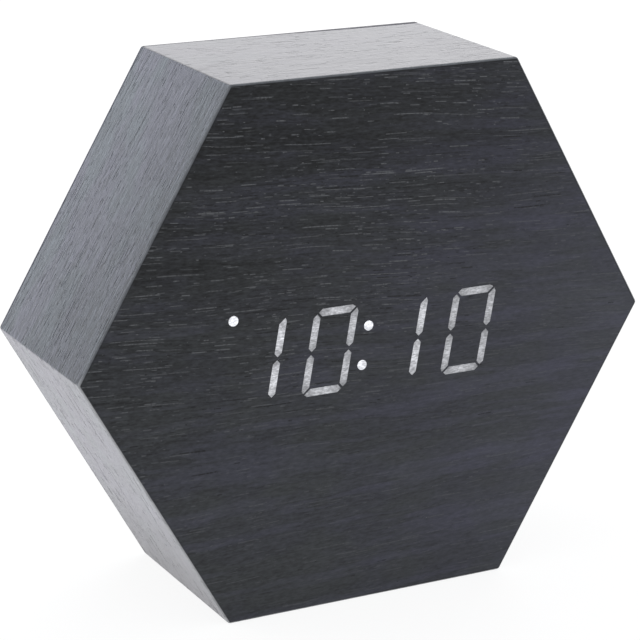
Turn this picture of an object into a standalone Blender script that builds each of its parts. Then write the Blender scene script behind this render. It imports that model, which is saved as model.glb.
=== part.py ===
"""Hexagonal digital alarm clock whose time shines through a black wood veneer.

Metres, +Z up. The clock faces -Y and stands on its flat bottom panel. The origin
is on the surface it stands on, under the middle of the case. Outlines are drawn
in X and Z, from the middle of the case, and bodies are built along Y, from the
front to the back.
"""

import math

import bmesh
import bpy
from mathutils import Vector
from mathutils.geometry import interpolate_bezier

# Case of six mitred panels
ACROSS_CORNERS = 0.130
CASE_DEPTH = 0.042
PANEL_THICKNESS = 0.009
PANEL_LIP = 0.0035
CORNER_RADIUS = 0.0008
EDGE_RADIUS = 0.0005
EDGE_LIMIT_SHARE = 0.9
VENEER_THICKNESS = 0.0006
FRONT_BOARD_THICKNESS = 0.004
GLUE_LINE = 0.00004

# Fits shared by all pieces
SEAT_GAP = 0.0003
CUT_OVERRUN = 0.001
FUSE_DEPTH = 0.0003

# Seven-segment digits. The whole display leans to the right
TIME_SHOWN = "10:10"
DIGIT_HEIGHT = 0.0183
DIGIT_PITCH = 0.0163
BAR_WIDTH = 0.00165
BAR_SPACING = 0.0086
CORNER_GAP = 0.00042
UPRIGHT_GAP = 0.00055
MIDDLE_BAR_GAP = 0.0006
BAR_CLEARANCE = 0.000075
SLANT_SHARE = 0.168
POINTED_TIP_SHARE = 0.1
POINTED_CLIP_SHARE = 1.0
BLUNT_TIP_SHARE = 0.5
BLUNT_CLIP_SHARE = 1.7
DISPLAY_SHIFT = -0.00175
DISPLAY_DROP = 0.0005
COLON_DOT_DIAMETER = 0.0022
COLON_DOT_SPACING = 0.00825
ALARM_DOT_DIAMETER = 0.00225
ALARM_DOT_RISE = 0.0092
ALARM_DOT_GAP = 0.0008

# Display module behind the front board
LIGHT_BOX_MARGIN = 0.0013
LIGHT_BOX_EAR = 0.0085
LIGHT_BOX_SHOULDER = 0.0025
LIGHT_BOX_FLANGE = 0.0015
LIGHT_BOX_POCKET_MARGIN = 0.0004
WEB_THICKNESS = 0.0008
WEB_MARGIN = 0.0003
DIODE_SIZE = 0.0012
DIODE_HEIGHT = 0.0008
CIRCUIT_BOARD_THICKNESS = 0.0016

# Screws
SCREW_DIAMETER = 0.0020
SCREW_HEAD_DIAMETER = 0.0038
SCREW_HEAD_HEIGHT = 0.0012
SCREW_RECESS_DEPTH = 0.0007
SCREW_RECESS_WIDTH = 0.0006
SCREW_RECESS_SPAN = 0.0022
SCREW_END_GAP = 0.0006
COVER_SCREW_LENGTH = 0.009
COVER_COUNTERBORE_DEPTH = 0.0008
DISPLAY_SCREW_BITE = 0.0026
BOARD_SCREW_BITE = 0.0032

# Rear cover and battery tray
COVER_RECESS = 0.0015
COVER_THICKNESS = 0.0022
TRAY_DROP = 0.024
TRAY_WALL = 0.0018
TRAY_FLOOR = 0.0015
TRAY_RIB_THICKNESS = 0.0008
TRAY_RIB_HEIGHT = 0.0020
TRAY_RIB_INSET = 0.009
CELL_COUNT = 3
CELL_DIAMETER = 0.0105
CELL_LENGTH = 0.0445
CELL_SPACING = 0.0110
CELL_EDGE_RADIUS = 0.0005
CELL_NUB_DIAMETER = 0.0038
CELL_NUB_LENGTH = 0.0010
CONTACT_THICKNESS = 0.0005
CONTACT_WIDTH = 0.0080
CONTACT_HEIGHT = 0.0080
CONTACT_TAIL_WIDTH = 0.0030
CONTACT_TAIL_LENGTH = 0.0045
SPRING_LENGTH = 0.0050
SPRING_WIRE = 0.0006
SPRING_WIDE_DIAMETER = 0.0072
SPRING_NARROW_DIAMETER = 0.0044
SPRING_TURNS = 4

# Battery door, hooked in at its lower edge
DOOR_THICKNESS = 0.0016
DOOR_LEDGE = 0.0012
DOOR_GAP = 0.00025
DOOR_CORNER_RADIUS = 0.0010
DOOR_TAB_WIDTH = 0.0060
DOOR_TAB_LENGTH = 0.0019
DOOR_TAB_THICKNESS = 0.00065
DOOR_TAB_SPACING = 0.030
DOOR_POCKET_DEPTH = 0.0030
DOOR_LATCH_WIDTH = 0.0110
DOOR_LATCH_LENGTH = 0.0090
DOOR_LATCH_SLOT = 0.0008
DOOR_THUMB_DEPTH = 0.0009
DOOR_THUMB_HEIGHT = 0.0022
DOOR_THUMB_LENGTH = 0.0073
DOOR_RIB_HEIGHT = 0.0012
DOOR_RIB_THICKNESS = 0.0010

# Main board, on posts of the rear cover
MAIN_BOARD_WIDTH = 0.060
MAIN_BOARD_HEIGHT = 0.038
MAIN_BOARD_LIFT = 0.003
POST_INSET = 0.004
POST_DIAMETER = 0.0052
PEG_DIAMETER = 0.0020
PEG_PROUD = 0.0010

# Buttons and their switches
BUTTON_DIAMETER = 0.0080
BUTTON_INSET = 0.014
BUTTON_RISE = 0.009
BUTTON_PROUD = 0.0010
BUTTON_EDGE_RADIUS = 0.0005
BUTTON_FLANGE_DIAMETER = 0.0105
BUTTON_FLANGE_THICKNESS = 0.0008
BUTTON_TRAVEL = 0.0005
BUTTON_MARK_SIZE = 0.0032
BUTTON_MARK_HEIGHT = 0.0002
SWITCH_SIZE = 0.0060
SWITCH_HEIGHT = 0.0035
PLUNGER_DIAMETER = 0.0034
PLUNGER_PROUD = 0.0012
PLUNGER_WELL_DEPTH = 0.0022

# What else the main board carries: insets are from its ends, shifts and rises from its middle
JACK_INSET = 0.011
JACK_RISE = -0.009
JACK_SIZE = 0.0070
JACK_BODY_HEIGHT = 0.0055
JACK_NECK_DIAMETER = 0.0058
JACK_BORE_DIAMETER = 0.0036
JACK_BORE_DEPTH = 0.0075
JACK_PIN_DIAMETER = 0.0013
JACK_PIN_SET_BACK = 0.0008
BUZZER_INSET = 0.012
BUZZER_RISE = -0.008
BUZZER_DIAMETER = 0.012
BUZZER_HEIGHT = 0.0055
BUZZER_PORT_DIAMETER = 0.0020
GRILLE_HOLE_DIAMETER = 0.0016
GRILLE_HOLE_SPACING = 0.0032
MICROPHONE_SHIFT = -0.003
MICROPHONE_DIAMETER = 0.0060
MICROPHONE_HEIGHT = 0.0050
SENSOR_SHIFT = 0.006
SENSOR_DIAMETER = 0.0025
SENSOR_HEIGHT = 0.0045
SMALL_PORT_DIAMETER = 0.0015
LOWER_ROW_RISE = -0.010
CHIP_LENGTH = 0.0100
CHIP_WIDTH = 0.0075
CHIP_HEIGHT = 0.0020
CHIP_RISE = 0.006
CHIP_LEG_WIDTH = 0.0005
CHIP_LEG_LENGTH = 0.0012
CHIP_LEG_THICKNESS = 0.0004
CHIP_LEGS = 8
CRYSTAL_DIAMETER = 0.0030
CRYSTAL_LENGTH = 0.0080
CRYSTAL_INSET = 0.014
CRYSTAL_RISE = 0.009
CAPACITOR_DIAMETER = 0.0063
CAPACITOR_HEIGHT = 0.0070
CAPACITOR_GROOVE = 0.0003
CAPACITOR_INSET = 0.014
CAPACITOR_RISE = -0.006
CONNECTOR_LENGTH = 0.0125
CONNECTOR_HEIGHT = 0.0045
CONNECTOR_DEPTH = 0.0045
CONNECTOR_MOUTH_DEPTH = 0.0020
CONNECTOR_SHIFT = 0.009
MAIN_CONNECTOR_RISE = -0.009
DISPLAY_CONNECTOR_DROP = 0.0035
RIBBON_WIDTH = 0.0100
RIBBON_THICKNESS = 0.0009
RIBBON_SLACK = 0.0090
LEAD_DIAMETER = 0.0012
LEAD_SLACK = 0.0090
LEAD_LANDING_INSET = 0.0050
LEAD_LANDING_LIFT = 0.0040

# Counts of facets
ROUND_SIDES = 24
SMALL_ROUND_SIDES = 16
TINY_ROUND_SIDES = 12
CORNER_STEPS = 3
EDGE_STEPS = 3
SPRING_POINTS_PER_TURN = 8
RIBBON_POINTS = 12
LEAD_POINTS = 14

# Finishes: colour, roughness, metallic
BLACK_VENEER = ((0.045, 0.047, 0.055), 0.55, 0.0)
FIBREBOARD = ((0.33, 0.22, 0.13), 0.85, 0.0)
LIT_PLASTIC = ((0.80, 0.82, 0.84), 0.4, 0.0)
BLACK_PLASTIC = ((0.018, 0.018, 0.019), 0.45, 0.0)
DARK_PLASTIC = ((0.035, 0.035, 0.037), 0.5, 0.0)
BOARD_LACQUER = ((0.015, 0.10, 0.045), 0.35, 0.0)
CREAM_NYLON = ((0.72, 0.68, 0.55), 0.5, 0.0)
BRIGHT_STEEL = ((0.62, 0.62, 0.60), 0.3, 1.0)
BLACK_STEEL = ((0.06, 0.06, 0.065), 0.4, 1.0)
CELL_SLEEVE = ((0.08, 0.16, 0.30), 0.35, 0.3)
GREY_CABLE = ((0.30, 0.31, 0.33), 0.5, 0.0)
RED_CABLE = ((0.50, 0.02, 0.02), 0.45, 0.0)
BLACK_CABLE = ((0.02, 0.02, 0.02), 0.45, 0.0)

# Planes along Y, from the front of the clock to its back
APOTHEM = ACROSS_CORNERS / 2 * math.cos(math.radians(30))
CENTRE_Z = APOTHEM
CASE_FRONT = -CASE_DEPTH / 2
CASE_BACK = CASE_DEPTH / 2
VENEER_BACK = CASE_FRONT + VENEER_THICKNESS
BOARD_FRONT = VENEER_BACK + GLUE_LINE
BOARD_BACK = BOARD_FRONT + FRONT_BOARD_THICKNESS
LIGHT_BOX_FRONT = BOARD_FRONT + SEAT_GAP
FLANGE_FRONT = BOARD_BACK + SEAT_GAP
FLANGE_BACK = FLANGE_FRONT + LIGHT_BOX_FLANGE
WEB_FRONT = FLANGE_BACK + SEAT_GAP
WEB_BACK = WEB_FRONT + WEB_THICKNESS
DISPLAY_BOARD_FRONT = WEB_BACK + SEAT_GAP + DIODE_HEIGHT
DISPLAY_BOARD_BACK = DISPLAY_BOARD_FRONT + CIRCUIT_BOARD_THICKNESS
LIGHT_BOX_BACK = DISPLAY_BOARD_FRONT - SEAT_GAP
COVER_BACK = CASE_BACK - COVER_RECESS
COVER_FRONT = COVER_BACK - COVER_THICKNESS
BUTTON_FLANGE_BACK = COVER_FRONT - SEAT_GAP
BUTTON_FLANGE_FRONT = BUTTON_FLANGE_BACK - BUTTON_FLANGE_THICKNESS
PLUNGER_BACK = BUTTON_FLANGE_FRONT - SEAT_GAP
SWITCH_BACK = PLUNGER_BACK - PLUNGER_PROUD
SWITCH_FRONT = SWITCH_BACK - SWITCH_HEIGHT
MAIN_BOARD_BACK = SWITCH_FRONT - SEAT_GAP
MAIN_BOARD_FRONT = MAIN_BOARD_BACK - CIRCUIT_BOARD_THICKNESS
DOOR_FRONT = COVER_BACK - DOOR_THICKNESS
RECESS_FLOOR = DOOR_FRONT - SEAT_GAP
CELL_AXIS = DOOR_FRONT - SEAT_GAP - CELL_DIAMETER / 2
TRAY_FLOOR_BACK = CELL_AXIS - CELL_DIAMETER / 2 - SEAT_GAP
TRAY_FLOOR_FRONT = TRAY_FLOOR_BACK - TRAY_FLOOR

# Half sizes of the tray's hollow, and places across the back
TRAY_HALF_LENGTH = (CELL_LENGTH + SPRING_LENGTH + 3 * SEAT_GAP) / 2 + CONTACT_THICKNESS + SEAT_GAP
TRAY_HALF_HEIGHT = (CELL_SPACING * (CELL_COUNT - 1) + CELL_DIAMETER) / 2 + SEAT_GAP
CONTACT_FACE = TRAY_HALF_LENGTH - SEAT_GAP - CONTACT_THICKNESS
DOOR_HALF_LENGTH = TRAY_HALF_LENGTH + DOOR_LEDGE - DOOR_GAP
DOOR_HALF_HEIGHT = TRAY_HALF_HEIGHT + DOOR_LEDGE - DOOR_GAP
MAIN_BOARD_Z = TRAY_HALF_HEIGHT + TRAY_WALL - TRAY_DROP + MAIN_BOARD_LIFT + MAIN_BOARD_HEIGHT / 2
JACK_X = MAIN_BOARD_WIDTH / 2 - JACK_INSET
BUZZER_X = BUZZER_INSET - MAIN_BOARD_WIDTH / 2
CRYSTAL_X = CRYSTAL_INSET - MAIN_BOARD_WIDTH / 2
CAPACITOR_X = CAPACITOR_INSET - MAIN_BOARD_WIDTH / 2
SCREW_CIRCLE = APOTHEM - PANEL_LIP - (PANEL_THICKNESS - PANEL_LIP) / 2
SCREW_HOLE_RADIUS = SCREW_DIAMETER / 2 + SEAT_GAP
BAR_HALF_SPACING = BAR_SPACING / 2
BAR_HALF_RISE = (DIGIT_HEIGHT - BAR_WIDTH) / 2

PANEL_NAMES = (
    "side_panel_top",
    "side_panel_upper_right",
    "side_panel_lower_right",
    "side_panel_bottom",
    "side_panel_lower_left",
    "side_panel_upper_left",
)
BUTTON_NAMES = ("set", "down", "up")

# Each bar of a digit runs clockwise from one corner to the next, with the shape of both ends
BAR_ENDS = {
    "a": ("top_left", "top_right", "pointed", "blunt"),
    "b": ("top_right", "middle_right", "blunt", "upright"),
    "c": ("middle_right", "bottom_right", "upright", "pointed"),
    "d": ("bottom_right", "bottom_left", "pointed", "blunt"),
    "e": ("bottom_left", "middle_left", "blunt", "upright"),
    "f": ("middle_left", "top_left", "upright", "pointed"),
    "g": ("middle_left", "middle_right", "crossbar", "crossbar"),
}
CORNER_TIPS = {
    "pointed": (POINTED_TIP_SHARE, POINTED_CLIP_SHARE),
    "blunt": (BLUNT_TIP_SHARE, BLUNT_CLIP_SHARE),
}
DIGIT_CORNERS = {
    "top_left": (-BAR_HALF_SPACING, BAR_HALF_RISE),
    "top_right": (BAR_HALF_SPACING, BAR_HALF_RISE),
    "middle_left": (-BAR_HALF_SPACING, 0),
    "middle_right": (BAR_HALF_SPACING, 0),
    "bottom_left": (-BAR_HALF_SPACING, -BAR_HALF_RISE),
    "bottom_right": (BAR_HALF_SPACING, -BAR_HALF_RISE),
}
LIT_BARS = {
    "0": "abcdef", "1": "bc", "2": "abged", "3": "abgcd", "4": "fgbc",
    "5": "afgcd", "6": "afgecd", "7": "abc", "8": "abcdefg", "9": "abcdfg",
}


def clear_scene():
    for obj in list(bpy.data.objects):
        bpy.data.objects.remove(obj, do_unlink=True)


def loft(bm, loops):
    """Skin one closed body through loops with the same number of points."""
    rings = [[bm.verts.new(point) for point in loop] for loop in loops]
    for ring, following in zip(rings, rings[1:]):
        for index, vert in enumerate(ring):
            after = (index + 1) % len(ring)
            bm.faces.new((vert, ring[after], following[after], following[index]))
    bm.faces.new(rings[0])
    bm.faces.new(rings[-1])


def prism(bm, outline, front, back):
    """Extrude an outline drawn in X and Z, from y=front to y=back."""
    loft(bm, [[(x, y, z) for x, z in outline] for y in (front, back)])


def circle(x, z, diameter, sides):
    turn = 2 * math.pi / sides
    return [
        (x + diameter / 2 * math.cos(turn * side), z + diameter / 2 * math.sin(turn * side))
        for side in range(sides)
    ]


def rectangle(x, z, half_length, half_height):
    return [
        (x - half_length, z - half_height),
        (x + half_length, z - half_height),
        (x + half_length, z + half_height),
        (x - half_length, z + half_height),
    ]


def rounded_rectangle(x, z, half_length, half_height, radius):
    outline = []
    for index, (side, rise) in enumerate(((1, 1), (-1, 1), (-1, -1), (1, -1))):
        for step in range(CORNER_STEPS + 1):
            angle = math.pi / 2 * (index + step / CORNER_STEPS)
            outline.append((
                x + side * (half_length - radius) + radius * math.cos(angle),
                z + rise * (half_height - radius) + radius * math.sin(angle),
            ))
    return outline


def turned(bm, x, z, profile, sides):
    """Turn a profile of (diameter, y) pairs about an axis along Y, with flat ends."""
    loft(bm, [[(px, y, pz) for px, pz in circle(x, z, diameter, sides)] for diameter, y in profile])


def hexagon(apothem, radius):
    """Flat-topped hexagon with rounded corners."""
    outline = []
    for corner in range(6):
        middle = math.radians(60 * corner)
        reach = (apothem - radius) / math.cos(math.radians(30))
        for step in range(CORNER_STEPS + 1):
            angle = middle + math.radians(60) * (step / CORNER_STEPS - 1 / 2)
            outline.append((
                reach * math.cos(middle) + radius * math.cos(angle),
                reach * math.sin(middle) + radius * math.sin(angle),
            ))
    return outline


def edge_rounding():
    """Pairs of (inset, distance from the end face) along a rounded outer edge."""
    radius = min(EDGE_RADIUS, CORNER_RADIUS * EDGE_LIMIT_SHARE, VENEER_THICKNESS * EDGE_LIMIT_SHARE)
    pairs = []
    for step in range(EDGE_STEPS + 1):
        angle = math.pi / 2 * step / EDGE_STEPS
        pairs.append((radius * (1 - math.sin(angle)), radius * (1 - math.cos(angle))))
    return pairs


def mesh_from(name, bm):
    """Finish a bmesh as a mesh that is smooth on round faces and sharp on edges."""
    bmesh.ops.recalc_face_normals(bm, faces=bm.faces)
    mesh = bpy.data.meshes.new(name)
    bm.to_mesh(mesh)
    bm.free()
    mesh.shade_smooth()
    mesh.set_sharp_from_angle(angle=math.radians(35))
    return mesh


def place(name, data, finish, location=(0, 0, 0), rotation=(0, 0, 0)):
    """Add a visible piece with a material of its own."""
    obj = bpy.data.objects.new(name, data)
    bpy.context.scene.collection.objects.link(obj)
    obj.location = location
    obj.rotation_euler = rotation
    colour, roughness, metallic = finish
    material = bpy.data.materials.new(name + "_finish")
    material.use_nodes = True
    shader = material.node_tree.nodes["Principled BSDF"]
    shader.inputs["Base Color"].default_value = (*colour, 1)
    shader.inputs["Roughness"].default_value = roughness
    shader.inputs["Metallic"].default_value = metallic
    if not data.materials:
        data.materials.append(None)
    obj.material_slots[0].link = "OBJECT"
    obj.material_slots[0].material = material
    return obj


def piece(name, bm, finish, lift=CENTRE_Z):
    """Add a piece drawn from the middle of the case."""
    return place(name, mesh_from(name, bm), finish, location=(0, 0, lift))


def tool(name, bm, lift=CENTRE_Z):
    """Add a hidden body that cuts or extends a piece."""
    obj = bpy.data.objects.new(name, mesh_from(name, bm))
    bpy.context.scene.collection.objects.link(obj)
    obj.location = (0, 0, lift)
    obj.hide_render = True
    obj.display_type = "WIRE"
    return obj


def cut(obj, *cutters):
    for cutter in cutters:
        modifier = obj.modifiers.new("cut_" + cutter.name, "BOOLEAN")
        modifier.object = cutter
        modifier.operation = "DIFFERENCE"


def fuse(obj, *additions):
    for addition in additions:
        modifier = obj.modifiers.new("fuse_" + addition.name, "BOOLEAN")
        modifier.object = addition
        modifier.operation = "UNION"


def panel_outline(inset):
    """Section of the top panel: flat outside, half of each rounded corner, mitred ends."""
    lean = math.radians(30)
    radius = CORNER_RADIUS - inset
    arc_height = APOTHEM - CORNER_RADIUS
    arc_side = arc_height * math.tan(lean)
    right = []
    for step in range(CORNER_STEPS + 1):
        angle = lean * step / CORNER_STEPS
        right.append((arc_side + radius * math.sin(angle), arc_height + radius * math.cos(angle)))
    inner = APOTHEM - PANEL_THICKNESS
    right.append((inner * math.tan(lean), inner))
    pull = GLUE_LINE / 2
    for index in (-2, -1):
        x, z = right[index]
        right[index] = (x - pull * math.cos(lean), z + pull * math.sin(lean))
    left = [(-x, z) for x, z in reversed(right)]
    return right + left


def panel_mesh():
    bm = bmesh.new()
    loops = [[(x, BOARD_FRONT, z) for x, z in panel_outline(0)]]
    for inset, depth in reversed(edge_rounding()):
        loops.append([(x, CASE_BACK - depth, z) for x, z in panel_outline(inset)])
    loft(bm, loops)
    return mesh_from("side_panel", bm)


def case_panels():
    """Six alike panels, rebated at the front for the board and at the back for the cover."""
    front = bmesh.new()
    rebate = hexagon(APOTHEM - PANEL_LIP, CORNER_RADIUS)
    prism(front, rebate, BOARD_FRONT - CUT_OVERRUN, BOARD_BACK + SEAT_GAP)
    back = bmesh.new()
    prism(back, rebate, COVER_FRONT - SEAT_GAP, CASE_BACK + CUT_OVERRUN)
    holes = bmesh.new()
    hole_front = screw_seat() - COVER_SCREW_LENGTH - SCREW_END_GAP
    for x, z in cover_screw_places():
        prism(holes, circle(x, z, 2 * SCREW_HOLE_RADIUS, TINY_ROUND_SIDES), hole_front, COVER_FRONT)
    cutters = (
        tool("front_rebate", front),
        tool("rear_rebate", back),
        tool("cover_screw_pilots", holes),
    )
    mesh = panel_mesh()
    for index, name in enumerate(PANEL_NAMES):
        turn = math.radians(60) * index
        panel = place(name, mesh, BLACK_VENEER, location=(0, 0, CENTRE_Z), rotation=(0, turn, 0))
        cut(panel, *cutters)


def front_board():
    """Board behind the veneer, with the display's window and two blind screw holes."""
    bm = bmesh.new()
    prism(bm, hexagon(APOTHEM - PANEL_LIP - SEAT_GAP, CORNER_RADIUS), BOARD_FRONT, BOARD_BACK)
    board = piece("front_board", bm, FIBREBOARD)
    x, z, half_length, half_height = light_box_nose()
    window = bmesh.new()
    opening = rectangle(x, z, half_length + SEAT_GAP, half_height + SEAT_GAP)
    prism(window, opening, BOARD_FRONT - CUT_OVERRUN, BOARD_BACK + CUT_OVERRUN)
    pilots = bmesh.new()
    pilot_front = BOARD_BACK - DISPLAY_SCREW_BITE - SCREW_END_GAP
    for x, z in display_screw_places():
        hole = circle(x, z, 2 * SCREW_HOLE_RADIUS, TINY_ROUND_SIDES)
        prism(pilots, hole, pilot_front, BOARD_BACK + CUT_OVERRUN)
    cut(board, tool("display_window", window), tool("display_screw_pilots", pilots))


def bar_end(kind, half, clearance):
    """Points (beyond the corner, outwards) of one end of a bar, from its outer to its inner side."""
    back = clearance * math.sqrt(2)
    if kind in CORNER_TIPS:
        tip_share, clip_share = CORNER_TIPS[kind]
        back += CORNER_GAP / math.sqrt(2)
        tip = half * tip_share
        return [(tip - back - (half - tip) * clip_share, half), (tip - back, tip), (-half - back, -half)]
    back += UPRIGHT_GAP / 2 if kind == "upright" else MIDDLE_BAR_GAP
    return [(-half - back, half), (-back, 0), (-half - back, -half)]


def bar_outline(name, x, clearance):
    """Outline of one bar of the digit whose middle is at x, drawn in by a clearance."""
    start_name, end_name, start_kind, end_kind = BAR_ENDS[name]
    start = Vector(DIGIT_CORNERS[start_name])
    end = Vector(DIGIT_CORNERS[end_name])
    along = (end - start).normalized()
    outwards = Vector((-along.y, along.x))
    half = BAR_WIDTH / 2 - clearance
    points = [start - along * u + outwards * v for u, v in reversed(bar_end(start_kind, half, clearance))]
    points += [end + along * u + outwards * v for u, v in bar_end(end_kind, half, clearance)]
    return [(x + p.x + SLANT_SHARE * p.y, p.y - DISPLAY_DROP) for p in points]


def digit_places():
    """Middle of each digit along X, from the left."""
    count = len(TIME_SHOWN) - 1
    return [DISPLAY_SHIFT + DIGIT_PITCH * (index - (count - 1) / 2) for index in range(count)]


def digits_shown():
    return zip(digit_places(), TIME_SHOWN.replace(":", ""))


def colon_dots():
    dots = []
    for rise in (COLON_DOT_SPACING / 2, -COLON_DOT_SPACING / 2):
        dots.append((DISPLAY_SHIFT + SLANT_SHARE * rise, rise - DISPLAY_DROP))
    return dots


def alarm_dot():
    digit_edge = digit_places()[0] - BAR_HALF_SPACING - BAR_WIDTH / 2 + SLANT_SHARE * ALARM_DOT_RISE
    return (digit_edge - ALARM_DOT_GAP - ALARM_DOT_DIAMETER / 2, ALARM_DOT_RISE - DISPLAY_DROP)


def dot_outlines(clearance):
    outlines = []
    for x, z in colon_dots():
        outlines.append(circle(x, z, COLON_DOT_DIAMETER - 2 * clearance, SMALL_ROUND_SIDES))
    x, z = alarm_dot()
    outlines.append(circle(x, z, ALARM_DOT_DIAMETER - 2 * clearance, SMALL_ROUND_SIDES))
    return outlines


def light_box_nose():
    """Middle and half sizes of the block that fills the window round all bars and dots."""
    lean = SLANT_SHARE * DIGIT_HEIGHT / 2
    half_digit = BAR_HALF_SPACING + BAR_WIDTH / 2 + lean
    left = min(alarm_dot()[0] - ALARM_DOT_DIAMETER / 2, digit_places()[0] - half_digit)
    right = digit_places()[-1] + half_digit
    top = max(DIGIT_HEIGHT / 2, ALARM_DOT_RISE + ALARM_DOT_DIAMETER / 2)
    half_length = (right - left) / 2 + LIGHT_BOX_MARGIN
    return (left + right) / 2, -DISPLAY_DROP, half_length, top + LIGHT_BOX_MARGIN


def display_screw_places():
    x, z, half_length, _ = light_box_nose()
    reach = half_length + LIGHT_BOX_EAR / 2
    return [(x - reach, z), (x + reach, z)]


def front_veneer():
    """Thin wood skin with the shapes that are lit when the clock shows its time."""
    bm = bmesh.new()
    loops = []
    for inset, depth in edge_rounding():
        loops.append([(x, CASE_FRONT + depth, z) for x, z in hexagon(APOTHEM - inset, CORNER_RADIUS - inset)])
    loops.append([(x, VENEER_BACK, z) for x, z in hexagon(APOTHEM, CORNER_RADIUS)])
    loft(bm, loops)
    veneer = piece("front_veneer", bm, BLACK_VENEER)
    shapes = bmesh.new()
    outlines = dot_outlines(0)
    for x, digit in digits_shown():
        outlines += [bar_outline(bar, x, 0) for bar in LIT_BARS[digit]]
    for outline in outlines:
        prism(shapes, outline, CASE_FRONT - CUT_OVERRUN, VENEER_BACK + CUT_OVERRUN)
    cut(veneer, tool("lit_shapes", shapes))


def display_light_box():
    """Opaque block with a light way for each bar and dot, and a pocket for the light guides."""
    x, z, half_length, half_height = light_box_nose()
    outer = rectangle(x, z, half_length + LIGHT_BOX_EAR, half_height + LIGHT_BOX_SHOULDER)
    bm = bmesh.new()
    prism(bm, outer, FLANGE_FRONT, LIGHT_BOX_BACK)
    box = piece("display_light_box", bm, BLACK_PLASTIC)
    nose = bmesh.new()
    prism(nose, rectangle(x, z, half_length, half_height), LIGHT_BOX_FRONT, FLANGE_FRONT + FUSE_DEPTH)
    margin = LIGHT_BOX_POCKET_MARGIN
    pocket = bmesh.new()
    hollow = rectangle(x, z, half_length + margin, half_height + margin)
    prism(pocket, hollow, FLANGE_BACK, LIGHT_BOX_BACK + CUT_OVERRUN)
    ways = bmesh.new()
    outlines = dot_outlines(0)
    for digit_x in digit_places():
        outlines += [bar_outline(bar, digit_x, 0) for bar in BAR_ENDS]
    for outline in outlines:
        prism(ways, outline, LIGHT_BOX_FRONT - CUT_OVERRUN, LIGHT_BOX_BACK)
    holes = bmesh.new()
    for hole_x, hole_z in display_screw_places():
        hole = circle(hole_x, hole_z, 2 * SCREW_HOLE_RADIUS, TINY_ROUND_SIDES)
        prism(holes, hole, FLANGE_FRONT - CUT_OVERRUN, LIGHT_BOX_BACK + CUT_OVERRUN)
    fuse(box, tool("light_box_nose", nose))
    cut(box, tool("light_box_pocket", pocket), tool("light_ways", ways), tool("light_box_holes", holes))


def leaning_web(x, half_width):
    """Outline of the web behind a digit or the colon, leaning as the digits do."""
    corners = []
    for side, rise in ((-1, -1), (1, -1), (1, 1), (-1, 1)):
        height = rise * (DIGIT_HEIGHT / 2 + WEB_MARGIN)
        corners.append((x + side * half_width + SLANT_SHARE * height, height - DISPLAY_DROP))
    return corners


def light_guide(name, web, lit, unlit):
    """Clear plastic web with raised shapes: lit ones reach the face, others stop under the veneer."""
    bm = bmesh.new()
    prism(bm, web, WEB_FRONT, WEB_BACK)
    guide = piece(name, bm, LIT_PLASTIC)
    raised = bmesh.new()
    for outline in lit:
        prism(raised, outline, CASE_FRONT, WEB_FRONT + FUSE_DEPTH)
    for outline in unlit:
        prism(raised, outline, LIGHT_BOX_FRONT, WEB_FRONT + FUSE_DEPTH)
    fuse(guide, tool(name + "_bars", raised))


def light_guides():
    half_digit = BAR_HALF_SPACING + BAR_WIDTH / 2 + WEB_MARGIN
    for index, (x, digit) in enumerate(digits_shown()):
        lit = [bar_outline(bar, x, BAR_CLEARANCE) for bar in LIT_BARS[digit]]
        unlit = [bar_outline(bar, x, BAR_CLEARANCE) for bar in BAR_ENDS if bar not in LIT_BARS[digit]]
        light_guide(f"digit_{index + 1}_light_guide", leaning_web(x, half_digit), lit, unlit)
    dots = dot_outlines(BAR_CLEARANCE)
    colon_web = leaning_web(DISPLAY_SHIFT, DIGIT_PITCH / 2 - half_digit - SEAT_GAP)
    light_guide("colon_light_guide", colon_web, dots[:-1], [])
    x, z = alarm_dot()
    disc = circle(x, z, ALARM_DOT_DIAMETER + 2 * BAR_CLEARANCE, ROUND_SIDES)
    light_guide("alarm_dot_light_guide", disc, dots[-1:], [])


def display_board():
    """Circuit board with a light-emitting diode behind the middle of each bar and dot."""
    x, z, half_length, half_height = light_box_nose()
    outline = rectangle(x, z, half_length + LIGHT_BOX_EAR, half_height + LIGHT_BOX_SHOULDER)
    bm = bmesh.new()
    prism(bm, outline, DISPLAY_BOARD_FRONT, DISPLAY_BOARD_BACK)
    board = piece("display_board", bm, BOARD_LACQUER)
    shapes = dot_outlines(0)
    for digit_x in digit_places():
        shapes += [bar_outline(bar, digit_x, 0) for bar in BAR_ENDS]
    diodes = bmesh.new()
    for shape in shapes:
        middle = sum((Vector(point) for point in shape), Vector((0, 0))) / len(shape)
        package = rectangle(middle.x, middle.y, DIODE_SIZE / 2, DIODE_SIZE / 2)
        prism(diodes, package, DISPLAY_BOARD_FRONT - DIODE_HEIGHT, DISPLAY_BOARD_FRONT + FUSE_DEPTH)
    holes = bmesh.new()
    for hole_x, hole_z in display_screw_places():
        hole = circle(hole_x, hole_z, 2 * SCREW_HOLE_RADIUS, TINY_ROUND_SIDES)
        prism(holes, hole, DISPLAY_BOARD_FRONT - CUT_OVERRUN, DISPLAY_BOARD_BACK + CUT_OVERRUN)
    fuse(board, tool("display_diodes", diodes))
    cut(board, tool("display_board_holes", holes))


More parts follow.
